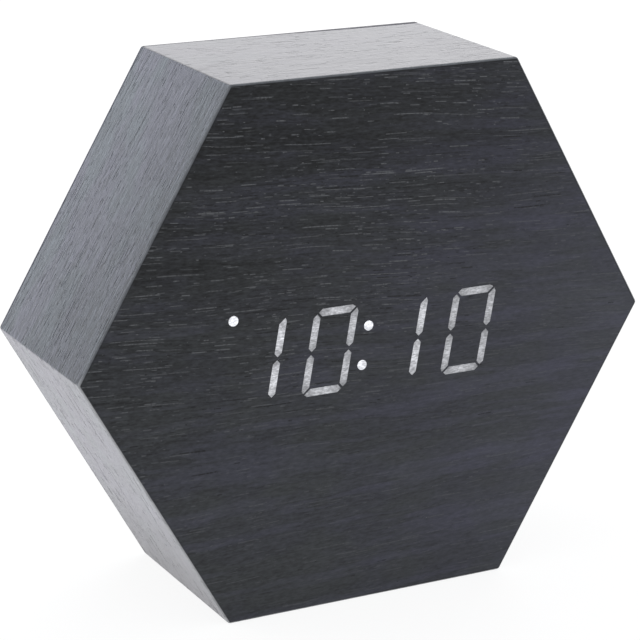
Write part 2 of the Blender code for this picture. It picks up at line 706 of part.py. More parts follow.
def screw_mesh(length):
    """Pan head screw with a cross recess. Its origin is under the head, its tip at -Y."""
    taper = SCREW_DIAMETER / 2
    profile = (
        (SCREW_DIAMETER / 2, -length),
        (SCREW_DIAMETER, taper - length),
        (SCREW_DIAMETER, 0),
        (SCREW_HEAD_DIAMETER, 0),
        (SCREW_HEAD_DIAMETER, SCREW_HEAD_HEIGHT / 2),
        (SCREW_HEAD_DIAMETER - SCREW_HEAD_HEIGHT / 2, SCREW_HEAD_HEIGHT),
    )
    bm = bmesh.new()
    turned(bm, 0, 0, profile, TINY_ROUND_SIDES)
    blank = bpy.data.objects.new("screw_blank", mesh_from("screw_blank", bm))
    bpy.context.scene.collection.objects.link(blank)
    slots = []
    for name, half_length, half_height in (
        ("screw_slot_flat", SCREW_RECESS_SPAN / 2, SCREW_RECESS_WIDTH / 2),
        ("screw_slot_upright", SCREW_RECESS_WIDTH / 2, SCREW_RECESS_SPAN / 2),
    ):
        slot = bmesh.new()
        outline = rectangle(0, 0, half_length, half_height)
        floor = SCREW_HEAD_HEIGHT - SCREW_RECESS_DEPTH
        prism(slot, outline, floor, SCREW_HEAD_HEIGHT + CUT_OVERRUN)
        slots.append(tool(name, slot, lift=0))
    cut(blank, *slots)
    graph = bpy.context.evaluated_depsgraph_get()
    mesh = bpy.data.meshes.new_from_object(blank.evaluated_get(graph))
    mesh.name = "screw"
    for obj in (blank, *slots):
        bpy.data.objects.remove(obj, do_unlink=True)
    return mesh


def cover_screw_places():
    places = []
    for index in range(6):
        angle = math.radians(60) * index
        places.append((SCREW_CIRCLE * math.sin(angle), SCREW_CIRCLE * math.cos(angle)))
    return places


def screw_seat():
    """Height at which the heads of the cover's screws sit."""
    return COVER_BACK - COVER_COUNTERBORE_DEPTH + SEAT_GAP


def screws():
    cover_mesh = screw_mesh(COVER_SCREW_LENGTH)
    for index, (x, z) in enumerate(cover_screw_places()):
        place(f"cover_screw_{index + 1}", cover_mesh, BLACK_STEEL, location=(x, screw_seat(), CENTRE_Z + z))
    display_seat = DISPLAY_BOARD_BACK + SEAT_GAP
    display_mesh = screw_mesh(display_seat - BOARD_BACK + DISPLAY_SCREW_BITE)
    for index, (x, z) in enumerate(display_screw_places()):
        middle = (x, display_seat, CENTRE_Z + z)
        place(f"display_screw_{index + 1}", display_mesh, BRIGHT_STEEL, location=middle)
    board_seat = MAIN_BOARD_FRONT - SEAT_GAP
    board_mesh = screw_mesh(MAIN_BOARD_BACK + SEAT_GAP - board_seat + BOARD_SCREW_BITE)
    for index, (x, z) in enumerate(post_places()[:2]):
        place(
            f"board_screw_{index + 1}", board_mesh, BRIGHT_STEEL,
            location=(x, board_seat, CENTRE_Z + z), rotation=(0, 0, math.pi),
        )


def post_places():
    """Posts of the main board: two for screws, then two with pegs."""
    x = MAIN_BOARD_WIDTH / 2 - POST_INSET
    z = MAIN_BOARD_HEIGHT / 2 - POST_INSET
    return [(x, MAIN_BOARD_Z + z), (-x, MAIN_BOARD_Z - z), (-x, MAIN_BOARD_Z + z), (x, MAIN_BOARD_Z - z)]


def button_places():
    """Middle of each button: one over the middle of the board, the others near its ends."""
    reach = MAIN_BOARD_WIDTH / 2 - BUTTON_INSET
    return [(x, MAIN_BOARD_Z + BUTTON_RISE) for x in (-reach, 0, reach)]


def door_tab_places():
    return (-DOOR_TAB_SPACING / 2, DOOR_TAB_SPACING / 2)


def cell_rows():
    """Height of each cell's axis, from the top."""
    return [CELL_SPACING * ((CELL_COUNT - 1) / 2 - row) - TRAY_DROP for row in range(CELL_COUNT)]


def cell_side(row):
    """Side of the tray that a cell's positive end faces: they alternate."""
    return 1 if row % 2 == 0 else -1


def contacts():
    """Name, side and cell rows of each contact, along the chain of cells."""
    chain = [("positive_contact", cell_side(0), [0])]
    for row in range(CELL_COUNT - 1):
        chain.append((f"link_contact_{row + 1}", -cell_side(row), [row, row + 1]))
    chain.append(("negative_contact", -cell_side(CELL_COUNT - 1), [CELL_COUNT - 1]))
    return chain


def rear_cover():
    """Hexagonal cover with a battery tray, screw posts, and holes for what shows behind."""
    bm = bmesh.new()
    prism(bm, hexagon(APOTHEM - PANEL_LIP - SEAT_GAP, CORNER_RADIUS), COVER_FRONT, COVER_BACK)
    cover = piece("rear_cover", bm, BLACK_PLASTIC)

    tray = bmesh.new()
    shell = rectangle(0, -TRAY_DROP, TRAY_HALF_LENGTH + TRAY_WALL, TRAY_HALF_HEIGHT + TRAY_WALL)
    prism(tray, shell, TRAY_FLOOR_FRONT, COVER_FRONT + FUSE_DEPTH)
    for index, (x, z) in enumerate(post_places()):
        post_front = MAIN_BOARD_BACK + SEAT_GAP
        profile = [(POST_DIAMETER, post_front), (POST_DIAMETER, COVER_FRONT + FUSE_DEPTH)]
        if index > 1:
            peg_end = MAIN_BOARD_FRONT - PEG_PROUD
            profile = [(PEG_DIAMETER, peg_end), (PEG_DIAMETER, post_front)] + profile
        turned(tray, x, z, profile, SMALL_ROUND_SIDES)
    fuse(cover, tool("tray_and_posts", tray))

    hollow = bmesh.new()
    inside = rectangle(0, -TRAY_DROP, TRAY_HALF_LENGTH, TRAY_HALF_HEIGHT)
    prism(hollow, inside, TRAY_FLOOR_BACK, COVER_BACK + CUT_OVERRUN)
    recess = bmesh.new()
    door_seat = rounded_rectangle(
        0, -TRAY_DROP, TRAY_HALF_LENGTH + DOOR_LEDGE, TRAY_HALF_HEIGHT + DOOR_LEDGE,
        DOOR_CORNER_RADIUS + DOOR_GAP,
    )
    prism(recess, door_seat, RECESS_FLOOR, COVER_BACK + CUT_OVERRUN)
    cut(cover, tool("tray_hollow", hollow), tool("door_recess", recess))

    pockets = bmesh.new()
    door_edge = -TRAY_DROP - DOOR_HALF_HEIGHT
    pocket_reach = DOOR_TAB_LENGTH + SEAT_GAP
    for x in door_tab_places():
        pocket = rectangle(x, door_edge, DOOR_TAB_WIDTH / 2 + SEAT_GAP, pocket_reach)
        pocket_back = DOOR_FRONT + DOOR_TAB_THICKNESS + DOOR_GAP
        prism(pockets, pocket, COVER_BACK - DOOR_POCKET_DEPTH, pocket_back)
    cut(cover, tool("door_tab_pockets", pockets))

    slots = bmesh.new()
    for _, side, rows in contacts():
        z = sum(cell_rows()[row] for row in rows) / len(rows)
        x = side * (CONTACT_FACE + CONTACT_THICKNESS / 2)
        slot = rectangle(x, z, CONTACT_THICKNESS / 2 + SEAT_GAP, CONTACT_TAIL_WIDTH / 2 + SEAT_GAP)
        prism(slots, slot, TRAY_FLOOR_FRONT - CUT_OVERRUN, TRAY_FLOOR_BACK + CUT_OVERRUN)
    cut(cover, tool("contact_slots", slots))

    ribs = bmesh.new()
    for upper, lower in zip(cell_rows(), cell_rows()[1:]):
        rib = rectangle(0, (upper + lower) / 2, TRAY_HALF_LENGTH - TRAY_RIB_INSET, TRAY_RIB_THICKNESS / 2)
        prism(ribs, rib, TRAY_FLOOR_BACK - FUSE_DEPTH, TRAY_FLOOR_BACK + TRAY_RIB_HEIGHT)
    fuse(cover, tool("tray_ribs", ribs))

    holes = bmesh.new()
    for x, z in button_places():
        ring = circle(x, z, BUTTON_DIAMETER + 2 * SEAT_GAP, ROUND_SIDES)
        prism(holes, ring, COVER_FRONT - CUT_OVERRUN, COVER_BACK + CUT_OVERRUN)
    for x, z, diameter in cover_ports():
        port = circle(x, z, diameter, TINY_ROUND_SIDES)
        prism(holes, port, COVER_FRONT - CUT_OVERRUN, COVER_BACK + CUT_OVERRUN)
    jack = circle(JACK_X, MAIN_BOARD_Z + JACK_RISE, JACK_NECK_DIAMETER + 2 * SEAT_GAP, SMALL_ROUND_SIDES)
    prism(holes, jack, COVER_FRONT - CUT_OVERRUN, COVER_BACK + CUT_OVERRUN)
    for x, z in cover_screw_places():
        prism(
            holes, circle(x, z, 2 * SCREW_HOLE_RADIUS, TINY_ROUND_SIDES),
            COVER_FRONT - CUT_OVERRUN, COVER_BACK + CUT_OVERRUN,
        )
    for x, z in post_places()[:2]:
        hole_back = MAIN_BOARD_BACK + SEAT_GAP + BOARD_SCREW_BITE + SCREW_END_GAP
        hole = circle(x, z, 2 * SCREW_HOLE_RADIUS, TINY_ROUND_SIDES)
        prism(holes, hole, MAIN_BOARD_BACK - CUT_OVERRUN, hole_back)
    counterbores = bmesh.new()
    for x, z in cover_screw_places():
        bore = circle(x, z, SCREW_HEAD_DIAMETER + 2 * SEAT_GAP, SMALL_ROUND_SIDES)
        prism(counterbores, bore, COVER_BACK - COVER_COUNTERBORE_DEPTH, COVER_BACK + CUT_OVERRUN)
    cut(cover, tool("cover_holes", holes), tool("cover_counterbores", counterbores))


def cover_ports():
    """Small round ports: the buzzer's grille, then one each for the microphone and the sensor."""
    middle_z = MAIN_BOARD_Z + BUZZER_RISE
    ports = [(BUZZER_X, middle_z, GRILLE_HOLE_DIAMETER)]
    for index in range(6):
        angle = math.radians(60) * index
        x = BUZZER_X + GRILLE_HOLE_SPACING * math.cos(angle)
        z = middle_z + GRILLE_HOLE_SPACING * math.sin(angle)
        ports.append((x, z, GRILLE_HOLE_DIAMETER))
    for shift in (MICROPHONE_SHIFT, SENSOR_SHIFT):
        ports.append((shift, MAIN_BOARD_Z + LOWER_ROW_RISE, SMALL_PORT_DIAMETER))
    return ports


def battery_door():
    """Door with two hooked tabs, a sprung latch tongue, a thumb recess and stiffening ribs.

    Its origin is on the line that it turns about, along its lower outer edge.
    """
    hinge_z = CENTRE_Z - TRAY_DROP - DOOR_HALF_HEIGHT
    hinge = bpy.data.objects.new("battery_door_hinge", None)
    bpy.context.scene.collection.objects.link(hinge)
    hinge.location = (0, COVER_BACK, hinge_z)

    height = 2 * DOOR_HALF_HEIGHT
    bm = bmesh.new()
    face = rounded_rectangle(0, DOOR_HALF_HEIGHT, DOOR_HALF_LENGTH, DOOR_HALF_HEIGHT, DOOR_CORNER_RADIUS)
    prism(bm, face, -DOOR_THICKNESS, 0)
    door = place("battery_door", mesh_from("battery_door", bm), BLACK_PLASTIC)

    added = bmesh.new()
    for x in door_tab_places():
        middle = (FUSE_DEPTH - DOOR_TAB_LENGTH) / 2
        tab = rectangle(x, middle, DOOR_TAB_WIDTH / 2, (DOOR_TAB_LENGTH + FUSE_DEPTH) / 2)
        prism(added, tab, -DOOR_THICKNESS, DOOR_TAB_THICKNESS - DOOR_THICKNESS)
    for upper, lower in zip(cell_rows(), cell_rows()[1:]):
        z = (upper + lower) / 2 + TRAY_DROP + DOOR_HALF_HEIGHT
        rib = rectangle(0, z, TRAY_HALF_LENGTH - TRAY_RIB_INSET, DOOR_RIB_THICKNESS / 2)
        prism(added, rib, -DOOR_THICKNESS - DOOR_RIB_HEIGHT, FUSE_DEPTH - DOOR_THICKNESS)
    extra = tool("door_tabs_and_ribs", added, lift=0)

    slots = bmesh.new()
    slot_length = DOOR_LATCH_LENGTH + CUT_OVERRUN
    slot_middle = height + CUT_OVERRUN - slot_length / 2
    for side in (-1, 1):
        x = side * (DOOR_LATCH_WIDTH + DOOR_LATCH_SLOT) / 2
        slot = rectangle(x, slot_middle, DOOR_LATCH_SLOT / 2, slot_length / 2)
        prism(slots, slot, -DOOR_THICKNESS - CUT_OVERRUN, CUT_OVERRUN)
    latch_slots = tool("door_latch_slots", slots, lift=0)
    thumb = bmesh.new()
    grip = rectangle(0, height - DOOR_THUMB_HEIGHT, DOOR_THUMB_LENGTH / 2, DOOR_THUMB_HEIGHT / 2)
    prism(thumb, grip, -DOOR_THUMB_DEPTH, CUT_OVERRUN)
    thumb_recess = tool("door_thumb_recess", thumb, lift=0)

    for obj in (door, extra, latch_slots, thumb_recess):
        obj.parent = hinge
    fuse(door, extra)
    cut(door, latch_slots, thumb_recess)


def battery_cells():
    """Three small cylindrical cells side by side, with their ends turned about."""
    end = CELL_EDGE_RADIUS
    shoulder = CELL_LENGTH - CELL_NUB_LENGTH
    bm = bmesh.new()
    profile = (
        (CELL_DIAMETER - 2 * end, 0),
        (CELL_DIAMETER, end),
        (CELL_DIAMETER, shoulder - end),
        (CELL_DIAMETER - 2 * end, shoulder),
        (CELL_NUB_DIAMETER, shoulder),
        (CELL_NUB_DIAMETER, CELL_LENGTH),
    )
    turned(bm, 0, 0, profile, ROUND_SIDES)
    mesh = mesh_from("battery_cell", bm)
    for row, z in enumerate(cell_rows()):
        side = cell_side(row)
        flat_end = side * (CONTACT_FACE - SEAT_GAP - CELL_LENGTH)
        place(
            f"battery_cell_{row + 1}", mesh, CELL_SLEEVE,
            location=(flat_end, CELL_AXIS, CENTRE_Z + z), rotation=(0, 0, -side * math.pi / 2),
        )


def battery_contacts():
    """Nickel strips at both ends of the tray. A tail of each goes out through the floor."""
    for name, side, rows in contacts():
        heights = [cell_rows()[row] for row in rows]
        middle = sum(heights) / len(heights)
        half_height = (max(heights) - min(heights) + CONTACT_WIDTH) / 2
        x = side * (CONTACT_FACE + CONTACT_THICKNESS / 2)
        bm = bmesh.new()
        front = CELL_AXIS - CONTACT_HEIGHT / 2
        strip = rectangle(x, middle, CONTACT_THICKNESS / 2, half_height)
        prism(bm, strip, front, CELL_AXIS + CONTACT_HEIGHT / 2)
        contact = piece(name, bm, BRIGHT_STEEL)
        tail = bmesh.new()
        tail_outline = rectangle(x, middle, CONTACT_THICKNESS / 2, CONTACT_TAIL_WIDTH / 2)
        prism(tail, tail_outline, tail_end(), front + FUSE_DEPTH)
        fuse(contact, tool(name + "_tail", tail))


def tail_end():
    return CELL_AXIS - CONTACT_HEIGHT / 2 - CONTACT_TAIL_LENGTH


def tube(name, points, diameter, finish, resolution, location=(0, 0, 0), rotation=(0, 0, 0)):
    """Round wire along a run of points, with closed ends."""
    curve = bpy.data.curves.new(name, "CURVE")
    curve.dimensions = "3D"
    curve.bevel_depth = diameter / 2
    curve.bevel_resolution = resolution
    curve.use_fill_caps = True
    spline = curve.splines.new("POLY")
    spline.points.add(len(points) - 1)
    for spline_point, point in zip(spline.points, points):
        spline_point.co = (*point, 1)
    return place(name, curve, finish, location, rotation)


def battery_springs():
    """Conical springs that press each cell's flat end, wide at the contact."""
    steps = SPRING_TURNS * SPRING_POINTS_PER_TURN
    run = SPRING_LENGTH - SPRING_WIRE
    points = []
    for step in range(steps + 1):
        share = step / steps
        angle = 2 * math.pi * SPRING_TURNS * share
        diameter = SPRING_WIDE_DIAMETER + (SPRING_NARROW_DIAMETER - SPRING_WIDE_DIAMETER) * share
        radius = (diameter - SPRING_WIRE) / 2
        points.append((radius * math.cos(angle), SPRING_WIRE / 2 + run * share, radius * math.sin(angle)))
    for row, z in enumerate(cell_rows()):
        side = cell_side(row)
        foot = -side * (CONTACT_FACE - SEAT_GAP)
        tube(
            f"battery_spring_{row + 1}", points, SPRING_WIRE, BRIGHT_STEEL, 1,
            location=(foot, CELL_AXIS, CENTRE_Z + z), rotation=(0, 0, -side * math.pi / 2),
        )


def battery_leads():
    """Wires from the first and the last contact's tail to the lower edge of the main board."""
    chain = contacts()
    for name, (_, side, rows), finish in (
        ("battery_lead_red", chain[0], RED_CABLE),
        ("battery_lead_black", chain[-1], BLACK_CABLE),
    ):
        tail_x = side * (CONTACT_FACE + CONTACT_THICKNESS / 2)
        start = Vector((tail_x, tail_end() - SEAT_GAP, cell_rows()[rows[0]]))
        landing = MAIN_BOARD_Z - MAIN_BOARD_HEIGHT / 2 + LEAD_LANDING_LIFT
        board_edge = side * (MAIN_BOARD_WIDTH / 2 - POST_INSET - LEAD_LANDING_INSET)
        end = Vector((board_edge, MAIN_BOARD_FRONT - SEAT_GAP, landing))
        away = Vector((0, -LEAD_SLACK, 0))
        points = interpolate_bezier(start, start + away, end + away, end, LEAD_POINTS)
        tube(name, points, LEAD_DIAMETER, finish, 2, location=(0, 0, CENTRE_Z))


def main_board():
    """Circuit board with two screw holes and two peg holes."""
    bm = bmesh.new()
    outline = rounded_rectangle(
        0, MAIN_BOARD_Z, MAIN_BOARD_WIDTH / 2, MAIN_BOARD_HEIGHT / 2, SCREW_DIAMETER / 2,
    )
    prism(bm, outline, MAIN_BOARD_FRONT, MAIN_BOARD_BACK)
    board = piece("main_board", bm, BOARD_LACQUER)
    holes = bmesh.new()
    for index, (x, z) in enumerate(post_places()):
        diameter = (SCREW_DIAMETER if index < 2 else PEG_DIAMETER) + 2 * SEAT_GAP
        hole = circle(x, z, diameter, TINY_ROUND_SIDES)
        prism(holes, hole, MAIN_BOARD_FRONT - CUT_OVERRUN, MAIN_BOARD_BACK + CUT_OVERRUN)
    cut(board, tool("main_board_holes", holes))


def button_mark(name):
    """Outline of the mark on a cap: a dot to set, or a triangle that points up or down."""
    if name == "set":
        return circle(0, 0, BUTTON_MARK_SIZE / 2, TINY_ROUND_SIDES)
    turn = 1 if name == "up" else -1
    return [(-turn * z, turn * x) for x, z in circle(0, 0, BUTTON_MARK_SIZE, 3)]


def buttons():
    """A cap in the cover, over the plunger of a small switch on the board, three times."""
    for name, (x, z) in zip(BUTTON_NAMES, button_places()):
        switch_bm = bmesh.new()
        prism(switch_bm, rectangle(x, z, SWITCH_SIZE / 2, SWITCH_SIZE / 2), SWITCH_FRONT, SWITCH_BACK)
        switch = piece(name + "_switch", switch_bm, DARK_PLASTIC)
        well_floor = SWITCH_BACK - PLUNGER_WELL_DEPTH
        well = bmesh.new()
        mouth = circle(x, z, PLUNGER_DIAMETER + 2 * SEAT_GAP, SMALL_ROUND_SIDES)
        prism(well, mouth, well_floor, SWITCH_BACK + CUT_OVERRUN)
        cut(switch, tool(name + "_switch_well", well))

        plunger_front = well_floor + BUTTON_TRAVEL + SEAT_GAP
        plunger = bmesh.new()
        prism(plunger, circle(0, 0, PLUNGER_DIAMETER, SMALL_ROUND_SIDES), plunger_front - PLUNGER_BACK, 0)
        place(
            name + "_plunger", mesh_from(name + "_plunger", plunger), BRIGHT_STEEL,
            location=(x, PLUNGER_BACK, CENTRE_Z + z),
        )

        face = COVER_BACK + BUTTON_PROUD - BUTTON_FLANGE_FRONT
        flange = BUTTON_FLANGE_THICKNESS
        profile = (
            (BUTTON_FLANGE_DIAMETER, 0),
            (BUTTON_FLANGE_DIAMETER, flange),
            (BUTTON_DIAMETER, flange),
            (BUTTON_DIAMETER, face - BUTTON_EDGE_RADIUS),
            (BUTTON_DIAMETER - BUTTON_EDGE_RADIUS, face - BUTTON_EDGE_RADIUS / 4),
            (BUTTON_DIAMETER - 2 * BUTTON_EDGE_RADIUS, face),
        )
        cap_bm = bmesh.new()
        turned(cap_bm, 0, 0, profile, ROUND_SIDES)
        cap = place(
            name + "_button", mesh_from(name + "_button", cap_bm), DARK_PLASTIC,
            location=(x, BUTTON_FLANGE_FRONT, CENTRE_Z + z),
        )
        mark_bm = bmesh.new()
        prism(mark_bm, button_mark(name), face - FUSE_DEPTH, face + BUTTON_MARK_HEIGHT)
        mark = tool(name + "_button_mark", mark_bm, lift=0)
        mark.parent = cap
        fuse(cap, mark)


def dc_jack():
    """Upright power socket: a square foot and a round neck with a bore and a centre pin."""
    x = JACK_X
    z = MAIN_BOARD_Z + JACK_RISE
    foot = MAIN_BOARD_BACK + SEAT_GAP
    mouth = COVER_BACK - SEAT_GAP
    floor = mouth - JACK_BORE_DEPTH
    bm = bmesh.new()
    prism(bm, rectangle(x, z, JACK_SIZE / 2, JACK_SIZE / 2), foot, foot + JACK_BODY_HEIGHT)
    jack = piece("dc_jack", bm, BLACK_PLASTIC)
    neck = bmesh.new()
    neck_front = foot + JACK_BODY_HEIGHT - FUSE_DEPTH
    prism(neck, circle(x, z, JACK_NECK_DIAMETER, ROUND_SIDES), neck_front, mouth)
    bore = bmesh.new()
    prism(bore, circle(x, z, JACK_BORE_DIAMETER, SMALL_ROUND_SIDES), floor, mouth + CUT_OVERRUN)
    pin = bmesh.new()
    pin_outline = circle(x, z, JACK_PIN_DIAMETER, TINY_ROUND_SIDES)
    prism(pin, pin_outline, floor - FUSE_DEPTH, mouth - JACK_PIN_SET_BACK)
    fuse(jack, tool("jack_neck", neck))
    cut(jack, tool("jack_bore", bore))
    fuse(jack, tool("jack_pin", pin))


def sounder_and_sensors():
    """Buzzer, microphone and temperature sensor, which face the ports of the cover."""
    foot = MAIN_BOARD_BACK + SEAT_GAP
    x = BUZZER_X
    z = MAIN_BOARD_Z + BUZZER_RISE
    top = foot + BUZZER_HEIGHT
    bm = bmesh.new()
    prism(bm, circle(x, z, BUZZER_DIAMETER, ROUND_SIDES), foot, top)
    buzzer = piece("buzzer", bm, BLACK_PLASTIC)
    port = bmesh.new()
    port_outline = circle(x, z, BUZZER_PORT_DIAMETER, TINY_ROUND_SIDES)
    prism(port, port_outline, foot + BUZZER_HEIGHT / 2, top + CUT_OVERRUN)
    cut(buzzer, tool("buzzer_port", port))

    row = MAIN_BOARD_Z + LOWER_ROW_RISE
    can = bmesh.new()
    can_outline = circle(MICROPHONE_SHIFT, row, MICROPHONE_DIAMETER, SMALL_ROUND_SIDES)
    prism(can, can_outline, foot, foot + MICROPHONE_HEIGHT)
    piece("microphone", can, BRIGHT_STEEL)
    bead = bmesh.new()
    half = SENSOR_DIAMETER / 2
    profile = (
        (half, foot),
        (half, foot + SENSOR_HEIGHT - SENSOR_DIAMETER),
        (SENSOR_DIAMETER, foot + SENSOR_HEIGHT - half),
        (half, foot + SENSOR_HEIGHT),
    )
    turned(bead, SENSOR_SHIFT, row, profile, TINY_ROUND_SIDES)
    piece("temperature_sensor", bead, BLACK_PLASTIC)


def front_side_parts():
    """Chip, crystal and capacitor on the side of the board that faces the display."""
    foot = MAIN_BOARD_FRONT - SEAT_GAP
    z = MAIN_BOARD_Z + CHIP_RISE
    bm = bmesh.new()
    body_back = foot - CHIP_LEG_THICKNESS / 2
    prism(bm, rectangle(0, z, CHIP_LENGTH / 2, CHIP_WIDTH / 2), body_back - CHIP_HEIGHT, body_back)
    chip = piece("controller_chip", bm, DARK_PLASTIC)
    legs = bmesh.new()
    for index in range(CHIP_LEGS):
        x = CHIP_LENGTH * ((index + 1 / 2) / CHIP_LEGS - 1 / 2)
        for side in (-1, 1):
            leg_z = z + side * CHIP_WIDTH / 2
            leg = rectangle(x, leg_z, CHIP_LEG_WIDTH / 2, CHIP_LEG_LENGTH)
            prism(legs, leg, foot - CHIP_LEG_THICKNESS, foot)
    fuse(chip, tool("chip_legs", legs))

    crystal = bmesh.new()
    end = CRYSTAL_DIAMETER / 8
    profile = (
        (CRYSTAL_DIAMETER - 2 * end, -CRYSTAL_LENGTH / 2),
        (CRYSTAL_DIAMETER, end - CRYSTAL_LENGTH / 2),
        (CRYSTAL_DIAMETER, CRYSTAL_LENGTH / 2 - end),
        (CRYSTAL_DIAMETER - 2 * end, CRYSTAL_LENGTH / 2),
    )
    turned(crystal, 0, 0, profile, SMALL_ROUND_SIDES)
    place(
        "quartz_crystal", mesh_from("quartz_crystal", crystal), BRIGHT_STEEL,
        location=(CRYSTAL_X, foot - CRYSTAL_DIAMETER / 2, CENTRE_Z + MAIN_BOARD_Z + CRYSTAL_RISE),
        rotation=(0, 0, math.pi / 2),
    )

    capacitor = bmesh.new()
    groove = CAPACITOR_GROOVE
    profile = (
        (CAPACITOR_DIAMETER - 2 * groove, foot - CAPACITOR_HEIGHT),
        (CAPACITOR_DIAMETER, foot - CAPACITOR_HEIGHT + groove),
        (CAPACITOR_DIAMETER, foot - 4 * groove),
        (CAPACITOR_DIAMETER - 2 * groove, foot - 3 * groove),
        (CAPACITOR_DIAMETER, foot - 2 * groove),
        (CAPACITOR_DIAMETER, foot),
    )
    turned(capacitor, CAPACITOR_X, MAIN_BOARD_Z + CAPACITOR_RISE, profile, SMALL_ROUND_SIDES)
    piece("capacitor", capacitor, BRIGHT_STEEL)


def connector(name, z, foot, facing):
    """Box header whose mouth takes the end of the ribbon cable."""
    bm = bmesh.new()
    face = foot + facing * CONNECTOR_DEPTH
    half_length = CONNECTOR_LENGTH / 2
    half_height = CONNECTOR_HEIGHT / 2
    prism(bm, rectangle(CONNECTOR_SHIFT, z, half_length, half_height), min(foot, face), max(foot, face))
    header = piece(name, bm, CREAM_NYLON)
    mouth = bmesh.new()
    near = face - facing * CONNECTOR_MOUTH_DEPTH
    far = face + facing * CUT_OVERRUN
    hollow = rectangle(
        CONNECTOR_SHIFT, z, RIBBON_WIDTH / 2 + SEAT_GAP, RIBBON_THICKNESS / 2 + SEAT_GAP,
    )
    prism(mouth, hollow, min(near, far), max(near, far))
    cut(header, tool(name + "_mouth", mouth))
    return face


def ribbon_and_connectors():
    """Flat cable in an S between the display board and the main board."""
    low = -DISPLAY_DROP - DISPLAY_CONNECTOR_DROP
    high = MAIN_BOARD_Z + MAIN_CONNECTOR_RISE
    display_face = connector("display_connector", low, DISPLAY_BOARD_BACK + SEAT_GAP, 1)
    main_face = connector("main_connector", high, MAIN_BOARD_FRONT - SEAT_GAP, -1)
    depth = CONNECTOR_MOUTH_DEPTH - SEAT_GAP
    start = Vector((CONNECTOR_SHIFT, display_face - depth, low))
    end = Vector((CONNECTOR_SHIFT, main_face + depth, high))
    mouth = Vector((0, depth, 0))
    slack = Vector((0, RIBBON_SLACK, 0))
    inner = interpolate_bezier(start + mouth, start + slack, end - slack, end - mouth, RIBBON_POINTS)
    path = [start, *inner, end]
    loops = []
    for index, point in enumerate(path):
        before = path[max(index - 1, 0)]
        after = path[min(index + 1, len(path) - 1)]
        along = (after - before).normalized()
        across = Vector((0, -along.z, along.y)) * (RIBBON_THICKNESS / 2)
        side = Vector((RIBBON_WIDTH / 2, 0, 0))
        low, high = point - across, point + across
        loops.append([low - side, low + side, high + side, high - side])
    bm = bmesh.new()
    loft(bm, loops)
    piece("ribbon_cable", bm, GREY_CABLE)


def build_clock():
    clear_scene()
    case_panels()
    front_board()
    front_veneer()
    display_light_box()
    light_guides()
    display_board()
    screws()
    rear_cover()
    battery_door()
    battery_cells()
    battery_contacts()
    battery_springs()
    battery_leads()
    main_board()
    buttons()
    dc_jack()
    sounder_and_sensors()
    front_side_parts()
    ribbon_and_connectors()


build_clock()
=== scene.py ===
"""Looks of the hexagonal digital alarm clock: finishes, small moulded details, light and camera."""

import math

import bpy
from mathutils import Matrix, Vector


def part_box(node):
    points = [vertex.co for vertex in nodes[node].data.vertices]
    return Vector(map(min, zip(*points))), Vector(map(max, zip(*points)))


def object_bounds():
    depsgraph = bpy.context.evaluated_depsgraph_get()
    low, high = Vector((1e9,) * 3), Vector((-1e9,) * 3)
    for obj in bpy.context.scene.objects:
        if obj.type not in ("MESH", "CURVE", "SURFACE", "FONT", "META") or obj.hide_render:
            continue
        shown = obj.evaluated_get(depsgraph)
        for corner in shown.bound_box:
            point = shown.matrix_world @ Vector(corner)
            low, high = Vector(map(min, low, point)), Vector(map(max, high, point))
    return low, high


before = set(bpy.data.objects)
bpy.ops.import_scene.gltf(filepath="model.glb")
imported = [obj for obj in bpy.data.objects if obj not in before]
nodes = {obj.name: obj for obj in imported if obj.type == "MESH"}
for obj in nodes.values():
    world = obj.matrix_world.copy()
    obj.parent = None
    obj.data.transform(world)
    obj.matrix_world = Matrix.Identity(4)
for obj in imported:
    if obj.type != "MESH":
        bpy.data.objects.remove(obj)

cad_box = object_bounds()

MM = 0.001

# The case, read from the frame
CASE_LOW, CASE_HIGH = (Vector(corner) for corner in cad_box)
CENTRE = (CASE_LOW + CASE_HIGH) / 2
SIDE = 65 * MM  # centre to corner of the sharp hexagon

# Camera, from the corners of the case in the photograph, in sides of the hexagon
CAMERA_AZIMUTH = math.radians(-28.20)
CAMERA_ELEVATION = math.radians(17.47)
CAMERA_ROLL = math.radians(0.78)
CAMERA_DISTANCE = 8.332 * SIDE
CAMERA_SHIFT = (-0.015 * SIDE, -0.019 * SIDE)
CAMERA_LENS = 144.4
CAMERA_SENSOR = 36.0


def make_camera():
    """Camera at the photograph's angle, a little rolled and shifted, as fitted to the corners of the case."""
    azimuth, elevation = CAMERA_AZIMUTH, CAMERA_ELEVATION
    back = Vector((
        math.sin(azimuth) * math.cos(elevation),
        -math.cos(azimuth) * math.cos(elevation),
        math.sin(elevation),
    ))
    right = Vector((math.cos(azimuth), math.sin(azimuth), 0))
    up = back.cross(right)
    rolled_right = right * math.cos(CAMERA_ROLL) + up * math.sin(CAMERA_ROLL)
    rolled_up = up * math.cos(CAMERA_ROLL) - right * math.sin(CAMERA_ROLL)
    place = CENTRE + rolled_right * CAMERA_SHIFT[0] + rolled_up * CAMERA_SHIFT[1] + back * CAMERA_DISTANCE
    data = bpy.data.cameras.new("camera")
    data.lens = CAMERA_LENS
    data.sensor_width = CAMERA_SENSOR
    data.clip_start = 10 * MM
    camera = bpy.data.objects.new("camera", data)
    bpy.context.scene.collection.objects.link(camera)
    turn = Matrix((rolled_right, rolled_up, back)).transposed().to_4x4()
    camera.matrix_world = Matrix.Translation(place) @ turn
    bpy.context.scene.camera = camera


